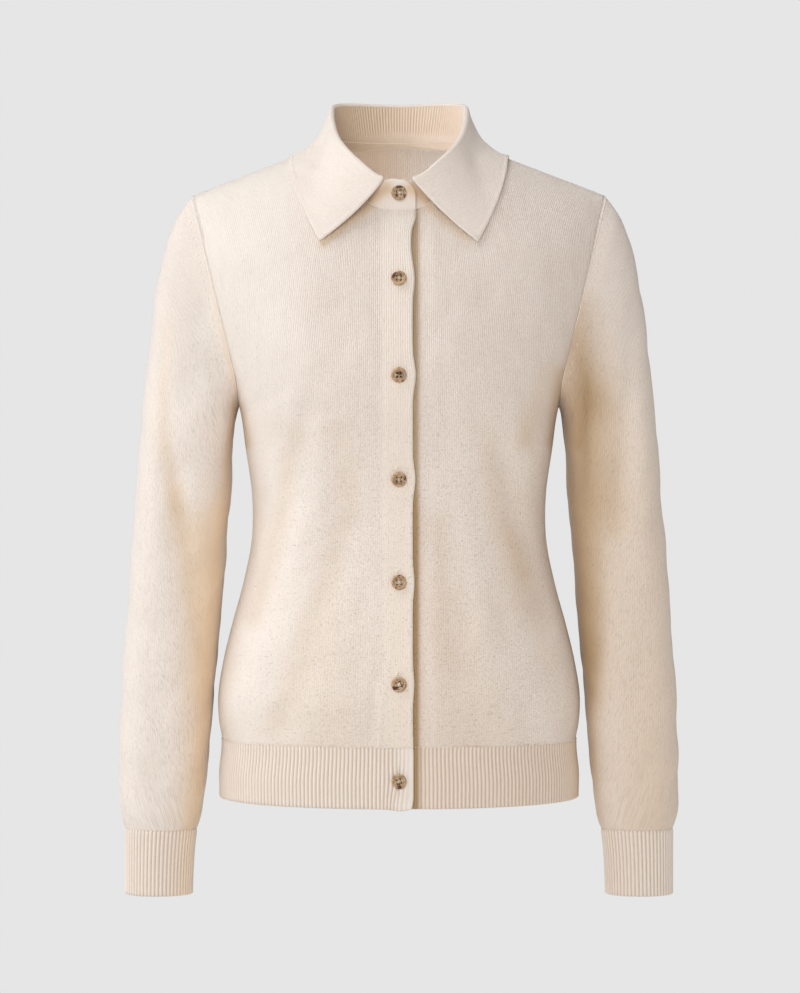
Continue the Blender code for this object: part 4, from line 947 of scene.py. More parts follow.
# troughs that turn round the arm between two heights; angles run from over the arm, 90 is its front
sleeveFolds = (
    {"hand": -1, "heights": (-190.0, -330.0), "angles": (52.0, 92.0), "width": 11.0, "depth": 1.9},
    {"hand": 1, "heights": (-150.0, -300.0), "angles": (46.0, 88.0), "width": 16.0, "depth": 2.8},
    {"hand": -1, "heights": (-325.0, -450.0), "angles": (96.0, 134.0), "width": 15.0, "depth": 3.6},
    {"hand": -1, "heights": (-235.0, -330.0), "angles": (96.0, 132.0), "width": 20.0, "depth": -2.4},
    {"hand": -1, "heights": (-330.0, -500.0), "angles": (66.0, 104.0), "width": 15.0, "depth": -1.6},
    {"hand": 1, "heights": (-150.0, -300.0), "angles": (112.0, 140.0), "width": 12.0, "depth": 3.2},
    {"hand": 1, "heights": (-320.0, -470.0), "angles": (106.0, 140.0), "width": 17.0, "depth": 3.6},
    {"hand": 0, "heights": (-170.0, -330.0), "angles": (318.0, 272.0), "width": 18.0, "depth": 3.5},
    {"hand": 0, "heights": (-350.0, -480.0), "angles": (262.0, 236.0), "width": 18.0, "depth": 3.0},
    {"hand": 0, "heights": (-280.0, -360.0), "angles": (80.0, 100.0), "width": 17.0, "depth": 2.6},
    {"hand": -1, "heights": (-250.0, -400.0), "angles": (40.0, 62.0), "width": 16.0, "depth": -1.2},
    {"hand": 1, "heights": (-240.0, -380.0), "angles": (44.0, 66.0), "width": 16.0, "depth": -1.4},
    {"hand": -1, "heights": (-455.0, -520.0), "angles": (60.0, 92.0), "width": 15.0, "depth": 1.3},
    {"hand": 1, "heights": (-440.0, -505.0), "angles": (66.0, 96.0), "width": 15.0, "depth": 1.3},
    {"hand": 0, "heights": (-540.0, -590.0), "angles": (70.0, 96.0), "width": 15.0, "depth": 1.2},
    {"hand": 0, "heights": (-500.0, -580.0), "angles": (282.0, 255.0), "width": 16.0, "depth": 1.5},
)


def sleevePoint(station, angle):
    # a ring between its ends over and under the arm, freed step by step from the armhole's outline into a squarish
    # oval whose depth runs with the sine of the angle, or with its power curve where the sleeve is boxy
    overX, overZ = sizeAt(arm, "overX", station), sizeAt(arm, "overZ", station)
    underX, underZ = sizeAt(arm, "underX", station), sizeAt(arm, "underZ", station)
    freed = sizeAt(arm, "freed", station)
    share = (1.0 + np.cos(angle)) / 2
    seamZ = body["underarmZ"] + share * (body["tipZ"] - body["underarmZ"])
    seamX = sizeAt(armhole, "side", seamZ)
    offChord = seamX - (body["underarmX"] + share * (body["tipX"] - body["underarmX"]))
    seamY = np.where(np.sin(angle) > 0, -bodyDepth(-1, seamX, seamZ), bodyDepth(1, seamX, seamZ))
    box = (1.0 - np.abs(np.cos(angle)) ** sleeve["squareness"]) ** (1.0 / sleeve["squareness"])
    boxy = 1.0 - ramp(station, *sleeve["boxyUntil"])
    bulge = np.sin(angle) + boxy * (box * np.sign(np.sin(angle)) - np.sin(angle))
    ovalY = -sizeAt(arm, "forward", station) - sizeAt(arm, "depth", station) * bulge
    x = underX + share * (overX - underX) + (1.0 - freed) * offChord
    return np.stack((x, (1.0 - freed) * seamY + freed * ovalY, underZ + share * (overZ - underZ)), axis=-1)


# soft strokes of painted light (pale) and painted warm and dark shade on the sleeves: angle and height of each line's
# points, half width and the amounts at the line's two ends
sleeveShadingStrokes = {
    -1: (
        {"path": ((54, -160), (60, -243), (74, -287), (88, -325)), "width": 8.0,
         "warmShade": (0.15, 0.35), "darkShade": (0.0, 0.1)},
        {"path": ((84, -310), (104, -362), (122, -415)), "width": 9.0, "warmShade": (0.35, 0.3), "darkShade": (0.12, 0.0)},
        {"path": ((118, -345), (130, -400), (140, -480)), "width": 20.0, "warmShade": (0.45, 0.5), "darkShade": (0.14, 0.10)},
        {"path": ((152, -330), (150, -600)), "width": 22.0, "warmShade": (0.85, 0.9), "darkShade": (0.10, 0.12)},
        {"path": ((164, -150), (162, -335)), "width": 11.0, "warmShade": (0.5, 0.7), "darkShade": (0.06, 0.1)},
        {"path": ((100, -90), (104, -220)), "width": 26.0, "pale": (0.5, 0.8)},
        {"path": ((40, -80), (44, -600)), "width": 30.0, "pale": (0.1, 0.5)},
    ),
    1: (
        {"path": ((96, -140), (112, -181), (120, -225), (140, -265)), "width": 7.0,
         "warmShade": (0.2, 0.3), "darkShade": (0.2, 0.55)},
        {"path": ((112, -150), (116, -225)), "width": 23.0, "warmShade": (0.15, 0.3), "darkShade": (0.26, 0.52)},
        {"path": ((118, -225), (116, -285), (116, -315)), "width": 24.0, "warmShade": (0.3, 0.35), "darkShade": (0.42, 0.34)},
        {"path": ((132, -240), (134, -310), (138, -366), (146, -417), (156, -480)), "width": 20.0,
         "warmShade": (0.4, 0.6), "darkShade": (0.5, 0.7)},
        {"path": ((70, -240), (66, -330), (70, -600)), "width": 56.0, "warmShade": (0.1, 0.3), "darkShade": (0.06, 0.24)},
        {"path": ((170, -250), (166, -330), (168, -450)), "width": 21.0, "warmShade": (0.4, 0.6), "darkShade": (0.8, 0.9)},
        {"path": ((168, -450), (170, -590)), "width": 18.0, "warmShade": (0.6, 0.4), "darkShade": (0.75, 0.25)},
        {"path": ((84, -240), (92, -290), (100, -340)), "width": 9.0, "warmShade": (0.15, 0.2), "darkShade": (0.08, 0.14)},
    ),
}


def shorten(points):
    # the lower sleeves end a little higher
    points = points.copy()
    points[..., 2] += sleeve["shorter"] * ramp(-points[..., 2], 250.0, 600.0)
    return points


def sleeveFoldDepth(z, angle, hand):
    # sum over the folds of depth times a bell across each one's angle, which turns evenly from its first height to
    # its last, with soft ends
    inward = np.zeros_like(z)
    degrees = np.degrees(angle) % 360.0
    for fold in sleeveFolds:
        if fold["hand"] * hand < 0:
            continue
        (top, bottom), (first, last) = fold["heights"], fold["angles"]
        t = (z - top) / (bottom - top)
        middle = first + np.clip(t, 0.0, 1.0) * (last - first)
        ends = ramp(t, -0.2, 0.25) * (1.0 - ramp(t, 0.75, 1.2))
        inward += fold["depth"] * ends * hump(degrees, middle, fold["width"])
    return inward


def sleevePiece(name, hand, node):
    # the rings from the armhole to the cuff, moved along their normals by folds, waves and seam dips; the first ring
    # lies along the armhole seam, with its wall turned in like the panels' walls
    count = 2 * body["armRows"]
    station = np.linspace(0.0, arm["station"][-1], sleeve["rows"])[:, None]
    angle = (np.arange(count) * math.pi / body["armRows"])[None, :]
    station, angle = np.broadcast_arrays(station, angle)
    d = 0.01
    down = sleevePoint(station + d, angle) - sleevePoint(station - d, angle)
    around = sleevePoint(station, angle + d) - sleevePoint(station, angle - d)
    normal = unit(np.cross(around, down))
    over, under = (np.stack([sizeAt(arm, end + axis, station) for axis in "XZ"], -1) for end in ("over", "under"))
    reach = over - under
    ringAxis = unit(np.stack((reach[..., 1], 0 * angle, -reach[..., 0]), axis=-1))
    inward = unit(unit(np.cross(ringAxis, around)) - normal)
    outer = sleevePoint(station, angle)
    across = lengthAlong(np.concatenate((outer, outer[:, :1]), axis=1), 1)
    toSeam = lengthAlong(outer, 0)
    along = np.concatenate((toSeam, toSeam[:, :1]), axis=1)
    z = outer[..., 2]
    toCuff = np.abs(z - cuff["top"])
    quiet = ramp(toSeam, 0.0, 18.0) * ramp(toCuff, 0.0, 20.0)
    u, v = sleeve["waveRound"] * np.cos(angle), z + sleeve["waveRound"] * np.sin(angle)
    waves = sum(depth * softWaves(u, v, seed + hand, size) for depth, size, seed in sleeve["waves"])
    detail = -sleeveFoldDepth(z, angle, hand) + waves * quiet
    detail = detail + seamGroove(toSeam, sleeve["seamGroove"], 1.6) + seamGroove(toCuff, sleeve["cuffGroove"], 2.0)
    outer = outer + normal * detail[..., None]
    inner = outer + sleeve["wall"] * inward
    inner[-1, :, 2] = outer[-1, :, 2]
    degrees = np.degrees(angle)
    # painted light and shade from the strokes, and painted warm and dark shade beside the armhole seam towards the
    # underarm
    marks = {mark: strokeAmount(sleeveShadingStrokes[hand], mark, degrees, z, 0.8) for mark in ("pale", "warmShade", "darkShade")}
    besideSeam = (1.0 - ramp(toSeam, 1.0, 9.0)) * hump(degrees, 140.0, 38.0)
    marks["warmShade"] = np.maximum(marks["warmShade"], 0.65 * besideSeam)
    marks["darkShade"] = np.maximum(marks["darkShade"], (0.12 if hand < 0 else 0.3) * besideSeam)
    for side in (-1, 1):
        points, way, wayIn = armholeFrame(side)
        ring = np.arange(body["armRows"], -1, -1) if side < 0 else np.arange(body["armRows"], count + 1) % count
        points[[0, -1], 1] = 0.0
        lean = underarmShare(points[:, 2:]) * normal[1, ring]
        outer[0, ring] = points + way * body["gap"] / 2
        inner[0, ring] = outer[0, ring] + sleeve["wall"] * unit(wayIn - lean)
    turn = np.array((hand, 1.0, 1.0))
    outer, inner = shorten(outer) * turn, shorten(inner) * turn
    # the inner side carries painted warm shade
    piece = clothShell(name, outer, inner, np.stack((across, along), -1), wrap=True, marks=marks,
                       inside={"warmShade": 0.4}, material=sleeveKnit, nodes=(node,), slot="plain_knit")
    return piece, outer, normal * turn


def cuffPiece(name, hand, node):
    # an oval tube pushed in and out by its ribs
    count = cuff["ribs"] * cuff["perRib"]
    angle = (np.arange(count) * 2 * math.pi / count)[None, :]
    z = np.linspace(cuff["bottom"], cuff["top"] - body["gap"] / 2, cuff["rows"])[:, None]
    angle, z = np.broadcast_arrays(angle, z)
    overX, underX = sizeAt(cuffRings, "overX", z), sizeAt(cuffRings, "underX", z)
    wide, deep = (overX - underX) / 2, sizeAt(cuffRings, "depth", z)
    normal = unit(np.stack((np.cos(angle) / wide, -np.sin(angle) / deep, 0 * angle), axis=-1))
    x = (overX + underX) / 2 + wide * np.cos(angle)
    outer = np.stack((x, -sizeAt(cuffRings, "forward", z) - deep * np.sin(angle), z), axis=-1)
    phase = np.arange(count) / cuff["perRib"]
    level = (z - cuff["bottom"]) / (cuff["top"] - cuff["bottom"])
    lift = cuff["raise"] / 2 * ribProfile(phase)[None, :] * (1.0 - 0.8 * ramp(level, 0.97, 1.0))
    lift = lift - cuff["topDip"] * hump(level, 1.0, 0.022) + cuff["edgeRoll"] * hump(level, 0.03, 0.06)
    back = outer - normal * (cuff["raise"] / 2 + cuff["wall"])
    outer = outer + normal * lift[..., None]
    turn = np.array((hand, 1.0, 1.0))
    # painted warm shade on the cuff's inner side, stronger on the wearer's right
    marks = {"ribs": np.ones_like(z), "warmShade": (0.45 if hand < 0 else 0.1) * hump(np.degrees(angle), 150.0, 30.0)}
    phase = np.arange(count + 1) / cuff["perRib"]
    cloth = np.stack(np.broadcast_arrays(phase[None, :] * ribWidth, z[:, :1] - cuff["bottom"]), -1)
    outer, back = shorten(outer) * turn, shorten(back) * turn
    return clothShell(name, outer, back, cloth, wrap=True, marks=marks,
                      material=ribKnit, nodes=(node,), slot="rib_knit")


sleeves, cuffs = {}, {}
for hand, label, node in ((-1, "Right", "right"), (1, "Left", "left")):
    sleeves[hand] = sleevePiece("sleeve" + label, hand, "sleeve_" + node)
    cuffs[hand] = cuffPiece("cuff" + label, hand, "cuff_" + node)
print("sleeves and cuffs made")


collar = {
    "neckGap": 0.35, "wall": 1.3, "ribs": 210, "perRib": 8, "rows": 14, "raise": 0.75, "foldRadius": 2.6,
    "standRise": 0.3, "standHeight": 30.0, "underlap": 3.1, "plainFront": 0.10, "plainBack": 0.20,
    "leafStart": {-1: 0.056, 1: 0.050}, "lift": 3.2, "columns": 240, "rollRows": 8, "fallRows": 34,
    "endRound": 11.0, "endDrop": 13.0, "lineHeight": 8.4, "easings": 36, "rim": 0.35, "rimDip": 0.15,
    "wave": (0.25, 34.0, 77),
}  # wave: depth, length and seed
# the leaf's two bends: shares of its reach out and down where it is rounded and where it is straight, and how much
# less it reaches out near the front on the wearer's right
leafBends = (((0.12, 0.45), (0.28, 0.35), 0.05), ((0.52, 0.93), (0.62, 0.69), 0.02))
foldLine = sizeTable(("part", "side", "forward", "up"), (
    (-0.065, -15.0, 78.5, -38.5),
    (0.0, 0.0, 79.0, -37.0),
    (0.065, 15.0, 77.5, -33.0),
    (0.160, 32.0, 69.5, -19.0),
    (0.253, 44.5, 57.0, -5.5),
    (0.360, 52.5, 37.5, 8.0),
    (0.460, 56.0, 17.0, 20.5),
    (0.600, 57.5, -11.0, 34.0),
    (0.700, 56.5, -32.0, 42.0),
    (0.830, 42.0, -53.0, 46.0),
    (1.0, 0.0, -64.0, 46.0),
    (1.170, -42.0, -53.0, 45.5),
))
leafEdge = sizeTable(("part", "side", "forward", "up", "straight"), (
    (0.050, 68.5, 87.0, -89.5, 1.0),
    (0.20, 79.0, 76.0, -69.0, 0.8),
    (0.33, 87.0, 62.0, -50.0, 0.5),
    (0.46, 92.5, 46.0, -32.0, 0.2),
    (0.60, 96.5, 14.0, -9.5, 0.0),
    (0.70, 96.0, -20.0, -11.0, 0.0),
    (0.82, 80.0, -52.0, -18.0, 0.0),
    (0.92, 45.0, -79.0, -23.0, 0.0),
    (1.0, 0.0, -91.0, -25.0, 0.0),
    (1.08, -45.0, -79.0, -23.0, 0.0),
))
# painted shadow under the front edge of the collar's leaf, on the stand's outer side
collarShade = ({"path": ((11, -44), (18, -48), (34, -60)), "width": 5.5, "warmShade": (0.8, 0.9), "darkShade": (0.4, 0.6)},)


def collarPlace(table, hand, part):
    # point of one of the collar's lines, from the centre front (0) to the centre back (1) of one half
    side, forward, up = (sizeAt(table, name, part) for name in ("side", "forward", "up"))
    return np.stack((hand * side, -forward, up), -1)


def foldPoint(hand, part):
    # point of the line on which the collar turns over, and the level way out from the neck there: across the line's
    # run over a short step d
    d = 0.004
    run = collarPlace(foldLine, hand, part + d) - collarPlace(foldLine, hand, part - d)
    out = unit(np.stack((-run[..., 1], run[..., 0], 0 * part), axis=-1)) * -np.asarray(hand)[..., None]
    return collarPlace(foldLine, hand, part), out


def neckSeam():
    # outer and inner line of the three panels' top rows, from the right front round the back to the left one, lifted
    # by the gap across their wall
    lines = []
    for layer in ("outer", "inner"):
        rows = [panels[name][layer][-1] for name in ("frontRight", "back", "frontLeft")]
        rows = [row[np.abs(row[:, 0]) < body["neckX"] + 1.6] for row in rows]
        lines.append(np.concatenate((rows[0], rows[1], rows[2][::-1])))
    outer, inner = lines
    lift = unit(np.cross(unit(np.gradient(outer, axis=0)), outer - inner))
    return outer + collar["neckGap"] * lift, inner + collar["neckGap"] * lift


def collarStand():
    # ruled surface from the neck seam up to the fold line; ribs push its neck side in and out above a plain strip
    outerLine, innerLine = neckSeam()
    length = lengthAlong(outerLine, 0)
    crossings = np.flatnonzero(np.diff(outerLine[:, 0] >= 0))
    share = outerLine[crossings, 0] / (outerLine[crossings, 0] - outerLine[crossings + 1, 0])
    first, middle, last = length[crossings] + share * (length[crossings + 1] - length[crossings])
    count = collar["ribs"] * collar["perRib"]
    place = np.linspace(0.0, length[-1], count + 1)
    bottomOut = np.stack([np.interp(place, length, outerLine[:, i]) for i in range(3)], axis=-1)
    bottomIn = np.stack([np.interp(place, length, innerLine[:, i]) for i in range(3)], axis=-1)
    hand = np.where(place < middle, -1.0, 1.0)
    part = np.where(place < middle, (place - first) / (middle - first), (last - place) / (last - middle))
    top, out = foldPoint(hand, part)
    leafStart = np.where(place < middle, collar["leafStart"][-1], collar["leafStart"][1])
    top[:, 2] -= (collar["foldRadius"] + collar["standRise"]) * ramp(part, leafStart - 0.035, leafStart - 0.005)
    atFront = (place > middle) & (top[:, 1] < 0)
    top -= collar["underlap"] * (atFront * underRight(top[:, 0]))[:, None] * out
    fromEnd = 1.0 - np.clip(place / collar["endRound"], 0.0, 1.0)
    top[:, 2] -= collar["endDrop"] * (1.0 - np.sqrt(1.0 - fromEnd**2))
    wayIn = unit(unit(bottomIn - bottomOut) - out)
    t = np.linspace(0.0, 1.0, collar["rows"])[:, None, None]
    atBack = ramp(part, 0.42, 0.62)
    plain = (collar["plainFront"] + collar["plainBack"] * atBack)[None, :, None]
    ribAmount = ramp(t, plain, plain + 0.10)
    rib = ribProfile(np.arange(count + 1) / collar["perRib"])[None, :, None] * collar["raise"] / 2 * ribAmount
    neckSide = (1 - t) * (bottomOut + wayIn * collar["wall"]) + t * top
    neckSide = neckSide + rib * ((1 - t) * wayIn - t * out)
    outward = (1 - t) * bottomOut + t * (top + out * collar["wall"])
    phase = np.arange(count + 1)[None, :] / collar["perRib"]
    cloth = np.stack(np.broadcast_arrays(phase * ribWidth, t[..., 0] * collar["standHeight"]), -1)
    # painted shade on the neck side: warm all over, darker towards the wearer's right away from the front and at the
    # back's rib foot
    marks = {"ribs": ribAmount[..., 0], "warmShade": 0.3 + 0 * t[..., 0]}
    marks["darkShade"] = (0.12 + 0.42 * (1.0 - ramp(top[:, 0], -60.0, 40.0))) * ramp(part, 0.12, 0.3) + 0 * t[..., 0]
    marks["darkShade"] = marks["darkShade"] + 0.18 * (1.0 - ramp(t[..., 0], 0.12, 0.42)) * atBack
    # the outer side carries the painted shadow under the leaf's front edge
    fromCentre, height = np.abs(outward[..., 0]), outward[..., 2]
    under = {mark: strokeAmount(collarShade, mark, fromCentre, height) for mark in ("warmShade", "darkShade")}
    piece = clothShell("collarStand", neckSide, outward, cloth, marks=marks, inside=under,
                       material=ribKnit, nodes=("collar_stand",), slot="rib_knit")
    # the stitched line runs nearly level across the back of the neck and down to the seam at its sides
    rise = np.maximum(collar["lineHeight"] - bottomIn[:, 2], 0.0) * ramp(part, 0.55, 0.78)
    lineHeight = bottomIn[:, 2] + 1.0 + rise
    row = np.argmax(neckSide[..., 2] >= lineHeight, axis=0)
    column = np.arange(count + 1)
    low, high = neckSide[row - 1, column], neckSide[row, column]
    line = low + (high - low) * ((lineHeight - low[:, 2]) / (high[:, 2] - low[:, 2]))[:, None]
    return piece, bottomOut, line[::4], wayIn[::4]


def clearOfBody(points, distance, onto=False):
    # points moved along the body's own slope until they are that far outside it
    points = points.copy()

    def outsideBy(p):
        # 0 on the body's section, below 0 in it: length of (depth over the section's own, way up the round) less 1
        x, y, z = p[..., 0], p[..., 1], p[..., 2]
        across = np.clip(np.abs(x) / sizeAt(torso, "halfWidth", z), 0.0, 1.0)
        around = (1.0 - across ** body["squareness"]) ** (1.0 / body["squareness"])
        depth = np.where(y < 0, sizeAt(torso, "front", z), sizeAt(torso, "back", z)) * around
        over = np.maximum(1.0 + (z - shoulderLine(x)) / body["shoulderRound"], 0.0)
        return np.hypot(y / depth, over) - 1.0

    for _ in range(6):
        here = outsideBy(points)
        slope = np.stack([outsideBy(points + step) - here for step in np.eye(3) * 0.2], axis=-1) / 0.2
        size = np.linalg.norm(slope, axis=-1, keepdims=True)
        lack = distance - here[..., None] / size
        points += (lack if onto else np.maximum(lack, 0.0)) * slope / size
    return points


def collarLeaf():
    # rolls over the fold line on a small circle, then falls along a cubic curve to its outer edge
    half = collar["columns"] // 2
    share = np.linspace(0.0, 1.0, half + 1)
    start = collar["leafStart"]
    part = np.concatenate([start[-1] + share * (1.0 - start[-1]), (start[1] + share * (1.0 - start[1]))[::-1][1:]])
    hand = np.concatenate((-np.ones(half + 1), np.ones(half)))
    fold, out = foldPoint(hand, part)
    up = np.array((0.0, 0.0, 1.0))
    centre = fold + collar["foldRadius"] * (out - up)
    edge = clearOfBody(collarPlace(leafEdge, hand, part), collar["lift"], onto=True)
    straight = sizeAt(leafEdge, "straight", part)[:, None]
    rows, ways = [], []
    for turned in np.linspace(math.pi, 0.0, collar["rollRows"] + 1)[:-1]:
        way = math.cos(turned) * out + math.sin(turned) * up
        rows.append(centre + collar["foldRadius"] * way)
        ways.append(way)
    begin = centre + collar["foldRadius"] * out
    fall = edge - begin
    bends = []
    full = ((hand < 0) * (1.0 - ramp(part, start[-1], start[-1] + 0.12)))[:, None]
    for (outA, dropA), (outB, dropB), pull in leafBends:
        outShare, dropShare = outA + straight * (outB - outA) - pull * full, dropA + straight * (dropB - dropA)
        bends.append(begin + fall * np.concatenate((outShare, outShare, dropShare), axis=-1))
    for t in np.linspace(0.0, 1.0, collar["fallRows"]) ** 0.9:
        curve = (1 - t) ** 3 * begin + 3 * t * (1 - t) ** 2 * bends[0] + 3 * t**2 * (1 - t) * bends[1] + t**3 * edge
        rows.append(clearOfBody(curve, collar["lift"]) if t > 0 else curve)
    visible = np.array(rows)
    for _ in range(collar["easings"]):  # eases the line where the leaf comes to lie on the shoulder
        eased, own = visible.copy(), visible[1:-1, 1:-1]
        around = visible[2:, 1:-1] + visible[:-2, 1:-1] + visible[1:-1, 2:] + visible[1:-1, :-2]
        eased[1:-1, 1:-1] += (around - 4 * own) / 6
        visible[10:-1] = eased[10:-1]
    normal = unit(np.cross(np.gradient(visible, axis=1), np.gradient(visible, axis=0)))
    normal[: len(ways)] = np.array(ways)
    across, along = lengthAlong(visible, 1), lengthAlong(visible, 0)
    across = across - across[:, half][:, None]
    fallen = ramp(along, 8.0, 30.0)
    toEdge = np.minimum(np.minimum(across - across[:, :1], across[:, -1:] - across), along[-1:] - along)
    depth, size, seed = collar["wave"]
    detail = depth * softWaves(across, along, seed, size) * fallen
    detail = detail + collar["rim"] * hump(toEdge, 1.5, 1.2) - collar["rimDip"] * hump(toEdge, 4.2, 1.4)
    visible = visible + normal * detail[..., None]
    return clothShell("collarLeaf", visible, visible - collar["wall"] * normal, np.stack((along, across), -1),
                      lip=0.5, material=collarKnit, nodes=("collar_leaf",), slot="plain_knit")


standPiece, seamOut, stitchLine, stitchWay = collarStand()
leafPiece = collarLeaf()
print("collar made")


# stitches are rows of beads: size along the row, across it and out of the cloth, pitch, and how far out they stand
beads = {
    "around": 6, "rings": 3,
    "fronts": {"size": (0.75, 0.28, 0.22), "pitch": 2.4, "out": 0.12},
    "fashion": {"size": (2.0, 0.55, 0.36), "pitch": 8.4, "out": 0.1, "fromSeam": 9.0, "slant": 0.55},
    "hem": {"size": (1.15, 0.62, 0.42), "out": 0.1, "up": 0.15},
    "neck": {"size": (0.95, 0.45, 0.5), "pitch": 2.5, "out": 0.15},
}


def beadMesh():
    # small ball of one length: points of a few rings between two poles, and its triangles
    turn = np.arange(beads["around"]) * 2 * math.pi / beads["around"]
    tilt = np.linspace(0.0, math.pi, beads["rings"] + 2)[1:-1]
    ring = [np.stack((np.sin(t) * np.cos(turn), np.sin(t) * np.sin(turn), np.cos(t) + 0 * turn), -1) for t in tilt]
    points = np.concatenate([np.array([(0.0, 0.0, 1.0)])] + ring + [np.array([(0.0, 0.0, -1.0)])])
    n, last = beads["around"], len(points) - 1
    i = np.arange(n)
    j = (i + 1) % n
    faces = [np.stack((0 * i, 1 + i, 1 + j), -1), np.stack((0 * i + last, last - n + j, last - n + i), -1)]
    for k in range(beads["rings"] - 1):
        a, b = 1 + k * n, 1 + (k + 1) * n
        faces += [np.stack((a + i, b + i, b + j), -1), np.stack((a + i, b + j, a + j), -1)]
    return points, np.concatenate(faces)


def beadRow(name, centres, run, up, size, material, slot="plain_knit", paintedShade=None):
    # one bead per centre, as long as size[0] along its run, size[1] across, size[2] out of the cloth
    base, tris = beadMesh()
    run, up = unit(run), unit(up)
    side = unit(np.cross(run, up))
    up = np.cross(side, run)
    frames = np.stack((run * size[0], side * size[1], up * size[2]), 1)
    points = (centres[:, None] + np.einsum("bi,nij->nbj", base[:, [2, 0, 1]], frames)).reshape(-1, 3)
    faces = (tris[None] + (np.arange(len(centres)) * len(base))[:, None, None]).reshape(-1, 3)
    # amounts of painted shade, one for each bead
    marks = {mark: np.broadcast_to(np.reshape(amount, (-1, 1)), (len(centres), len(base))).ravel()
             for mark, amount in (paintedShade or {}).items()}
    return meshPiece(name, points, orientOut(points, faces), material, marks=marks, slot=slot)


def evenAlong(path, pitch, *others):
    # even places along a path, with other rows of values read at the same places
    length = lengthAlong(path, 0)
    at = np.arange(pitch / 2, length[-1], pitch)
    return [np.stack([np.interp(at, length, row[:, i]) for i in range(3)], -1) for row in (path, *others)]


# one value for each button, from the neck down: size of its thread cross (0 for none), turn and tilt in degrees
button = {
    "radius": 6.5, "middle": 1.4, "hole": 0.95, "holeDepth": 1.5, "spread": 2.3, "around": 64, "thread": 0.27,
    "rim": ((0.0, 1.9), (3.7, 1.95), (4.3, 2.2), (4.8, 2.72), (5.4, 2.8), (5.95, 2.55), (6.35, 2.0), (6.5, 1.5)),
    "back": ((6.45, 1.0), (6.2, 0.45), (5.6, 0.1), (4.0, 0.0), (0.12, 0.0)),
    "cross": (1.0, 0.7, 0.0, 0.8, 1.2, 1.4, 0.8),
    "spin": (8.0, -4.0, 2.0, -3.0, 6.0, 24.0, 17.0), "tilt": (0.0, 4.0, 0.0, 3.0, -3.0, 5.0, 13.0),
}  # rim and back: distance from the middle, and height


def buttonShape():
    # heights over a disc: raised round rim, dished middle and four round pits; the back is flat and closes at the rim
    r = np.concatenate((np.linspace(0.12, 3.4, 24), np.linspace(3.6, button["radius"], 14)))
    faceRings = len(r)
    h = np.interp(r, *np.array(button["rim"]).T)
    r, h = (np.concatenate(pair) for pair in zip((r, h), np.array(button["back"]).T))
    turn = np.arange(button["around"]) * 2 * math.pi / button["around"]
    x, y, z = r[:, None] * np.cos(turn), r[:, None] * np.sin(turn), h[:, None] + 0 * turn
    # painted shade: a darker ring on the rim's inner slope, and full dark in each pit below
    paintedShade = 0.35 * hump(r[:, None] + 0 * turn, 4.25, 0.35)
    for k in range(4):
        angle = math.pi / 4 + k * math.pi / 2
        away = np.hypot(x - button["spread"] * math.cos(angle), y - button["spread"] * math.sin(angle))
        pit = 1.0 - ramp(away[:faceRings], button["hole"] * 0.72, button["hole"] * 1.12)
        z[:faceRings] -= button["holeDepth"] * pit
        paintedShade[:faceRings] += pit
    points = np.stack((x, y, z), -1)
    index = np.arange(points.size // 3).reshape(len(r), -1)
    after = np.roll(index, -1, axis=1)
    quads = np.stack((index[:-1], after[:-1], after[1:], index[1:]), -1).reshape(-1, 4)
    half = button["around"] // 2
    caps = [(row[k], row[k + 1], row[2 * half - 2 - k], row[2 * half - 1 - k])
            for row in (index[0], index[-1][::-1]) for k in range(half - 1)]
    return points.reshape(-1, 3), np.concatenate((quads, np.array(caps)[:, ::-1])), paintedShade.ravel()


def crossThread(size):
    # two strands, each a low arch between two opposite holes, the second over the first
    strands = []
    for angle in (math.pi / 4, 3 * math.pi / 4):
        t = np.linspace(-1.0, 1.0, 15)
        height = 2.15 - 1.1 * np.abs(t) ** 5 + (0.25 if angle > 1 else 0.0)
        path = np.stack((button["spread"] * t * math.cos(angle), button["spread"] * t * math.sin(angle), height), -1)
        strands.append(tubeAlong(path, button["thread"] * size, sides=6))
    return joinShapes(strands)


disc, discFaces, discShade = buttonShape()
discFaces = orientOut(disc, discFaces)
for number in range(len(buttonHeights)):
    low, high = (np.array(corner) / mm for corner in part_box(f"button_{number + 1}"))
    centre = (low + high) / 2
    flat = sizeAt(torso, "front", np.array([centre[2] - button["radius"], centre[2] + button["radius"]]))
    lean = math.atan2(flat[0] - flat[1], 2 * button["radius"]) if number else 0.1
    tilted = Matrix.Rotation(math.radians(button["tilt"][number]), 3, (0.7, -0.7, 0.0))
    spun = Matrix.Rotation(math.radians(button["spin"][number]), 3, "Z")
    pose = np.array(Matrix.Rotation(math.pi / 2 - lean, 3, "X") @ tilted @ spun)
    centre[1] -= 0.25 + 0.07 * button["tilt"][number]
    centre = settle(centre)
    points = (disc - (0.0, 0.0, button["middle"])) @ pose.T + centre
    meshPiece(f"button{number + 1}", points, discFaces, buttonHorn, marks={"pit": discShade},
              nodes=(f"button_{number + 1}",), slot="horn")
    if button["cross"][number]:
        strand, strandFaces = crossThread(button["cross"][number])
        points = (strand - (0.0, 0.0, button["middle"])) @ pose.T + centre
        meshPiece(f"buttonThread{number + 1}", points, strandFaces, sewingThread, slot="plain_knit")
print("buttons made")


# ring of stitches that shows above a button: number of each button, counted from 0, and the ring's share of full size
buttonhole = {
    "sizes": ((1, 0.55), (2, 0.6), (3, 1.0), (4, 1.0), (5, 1.0)), "side": -0.8, "above": 8.6,
    "wide": 1.2, "high": 2.3, "thick": 0.62, "out": 0.25,
}


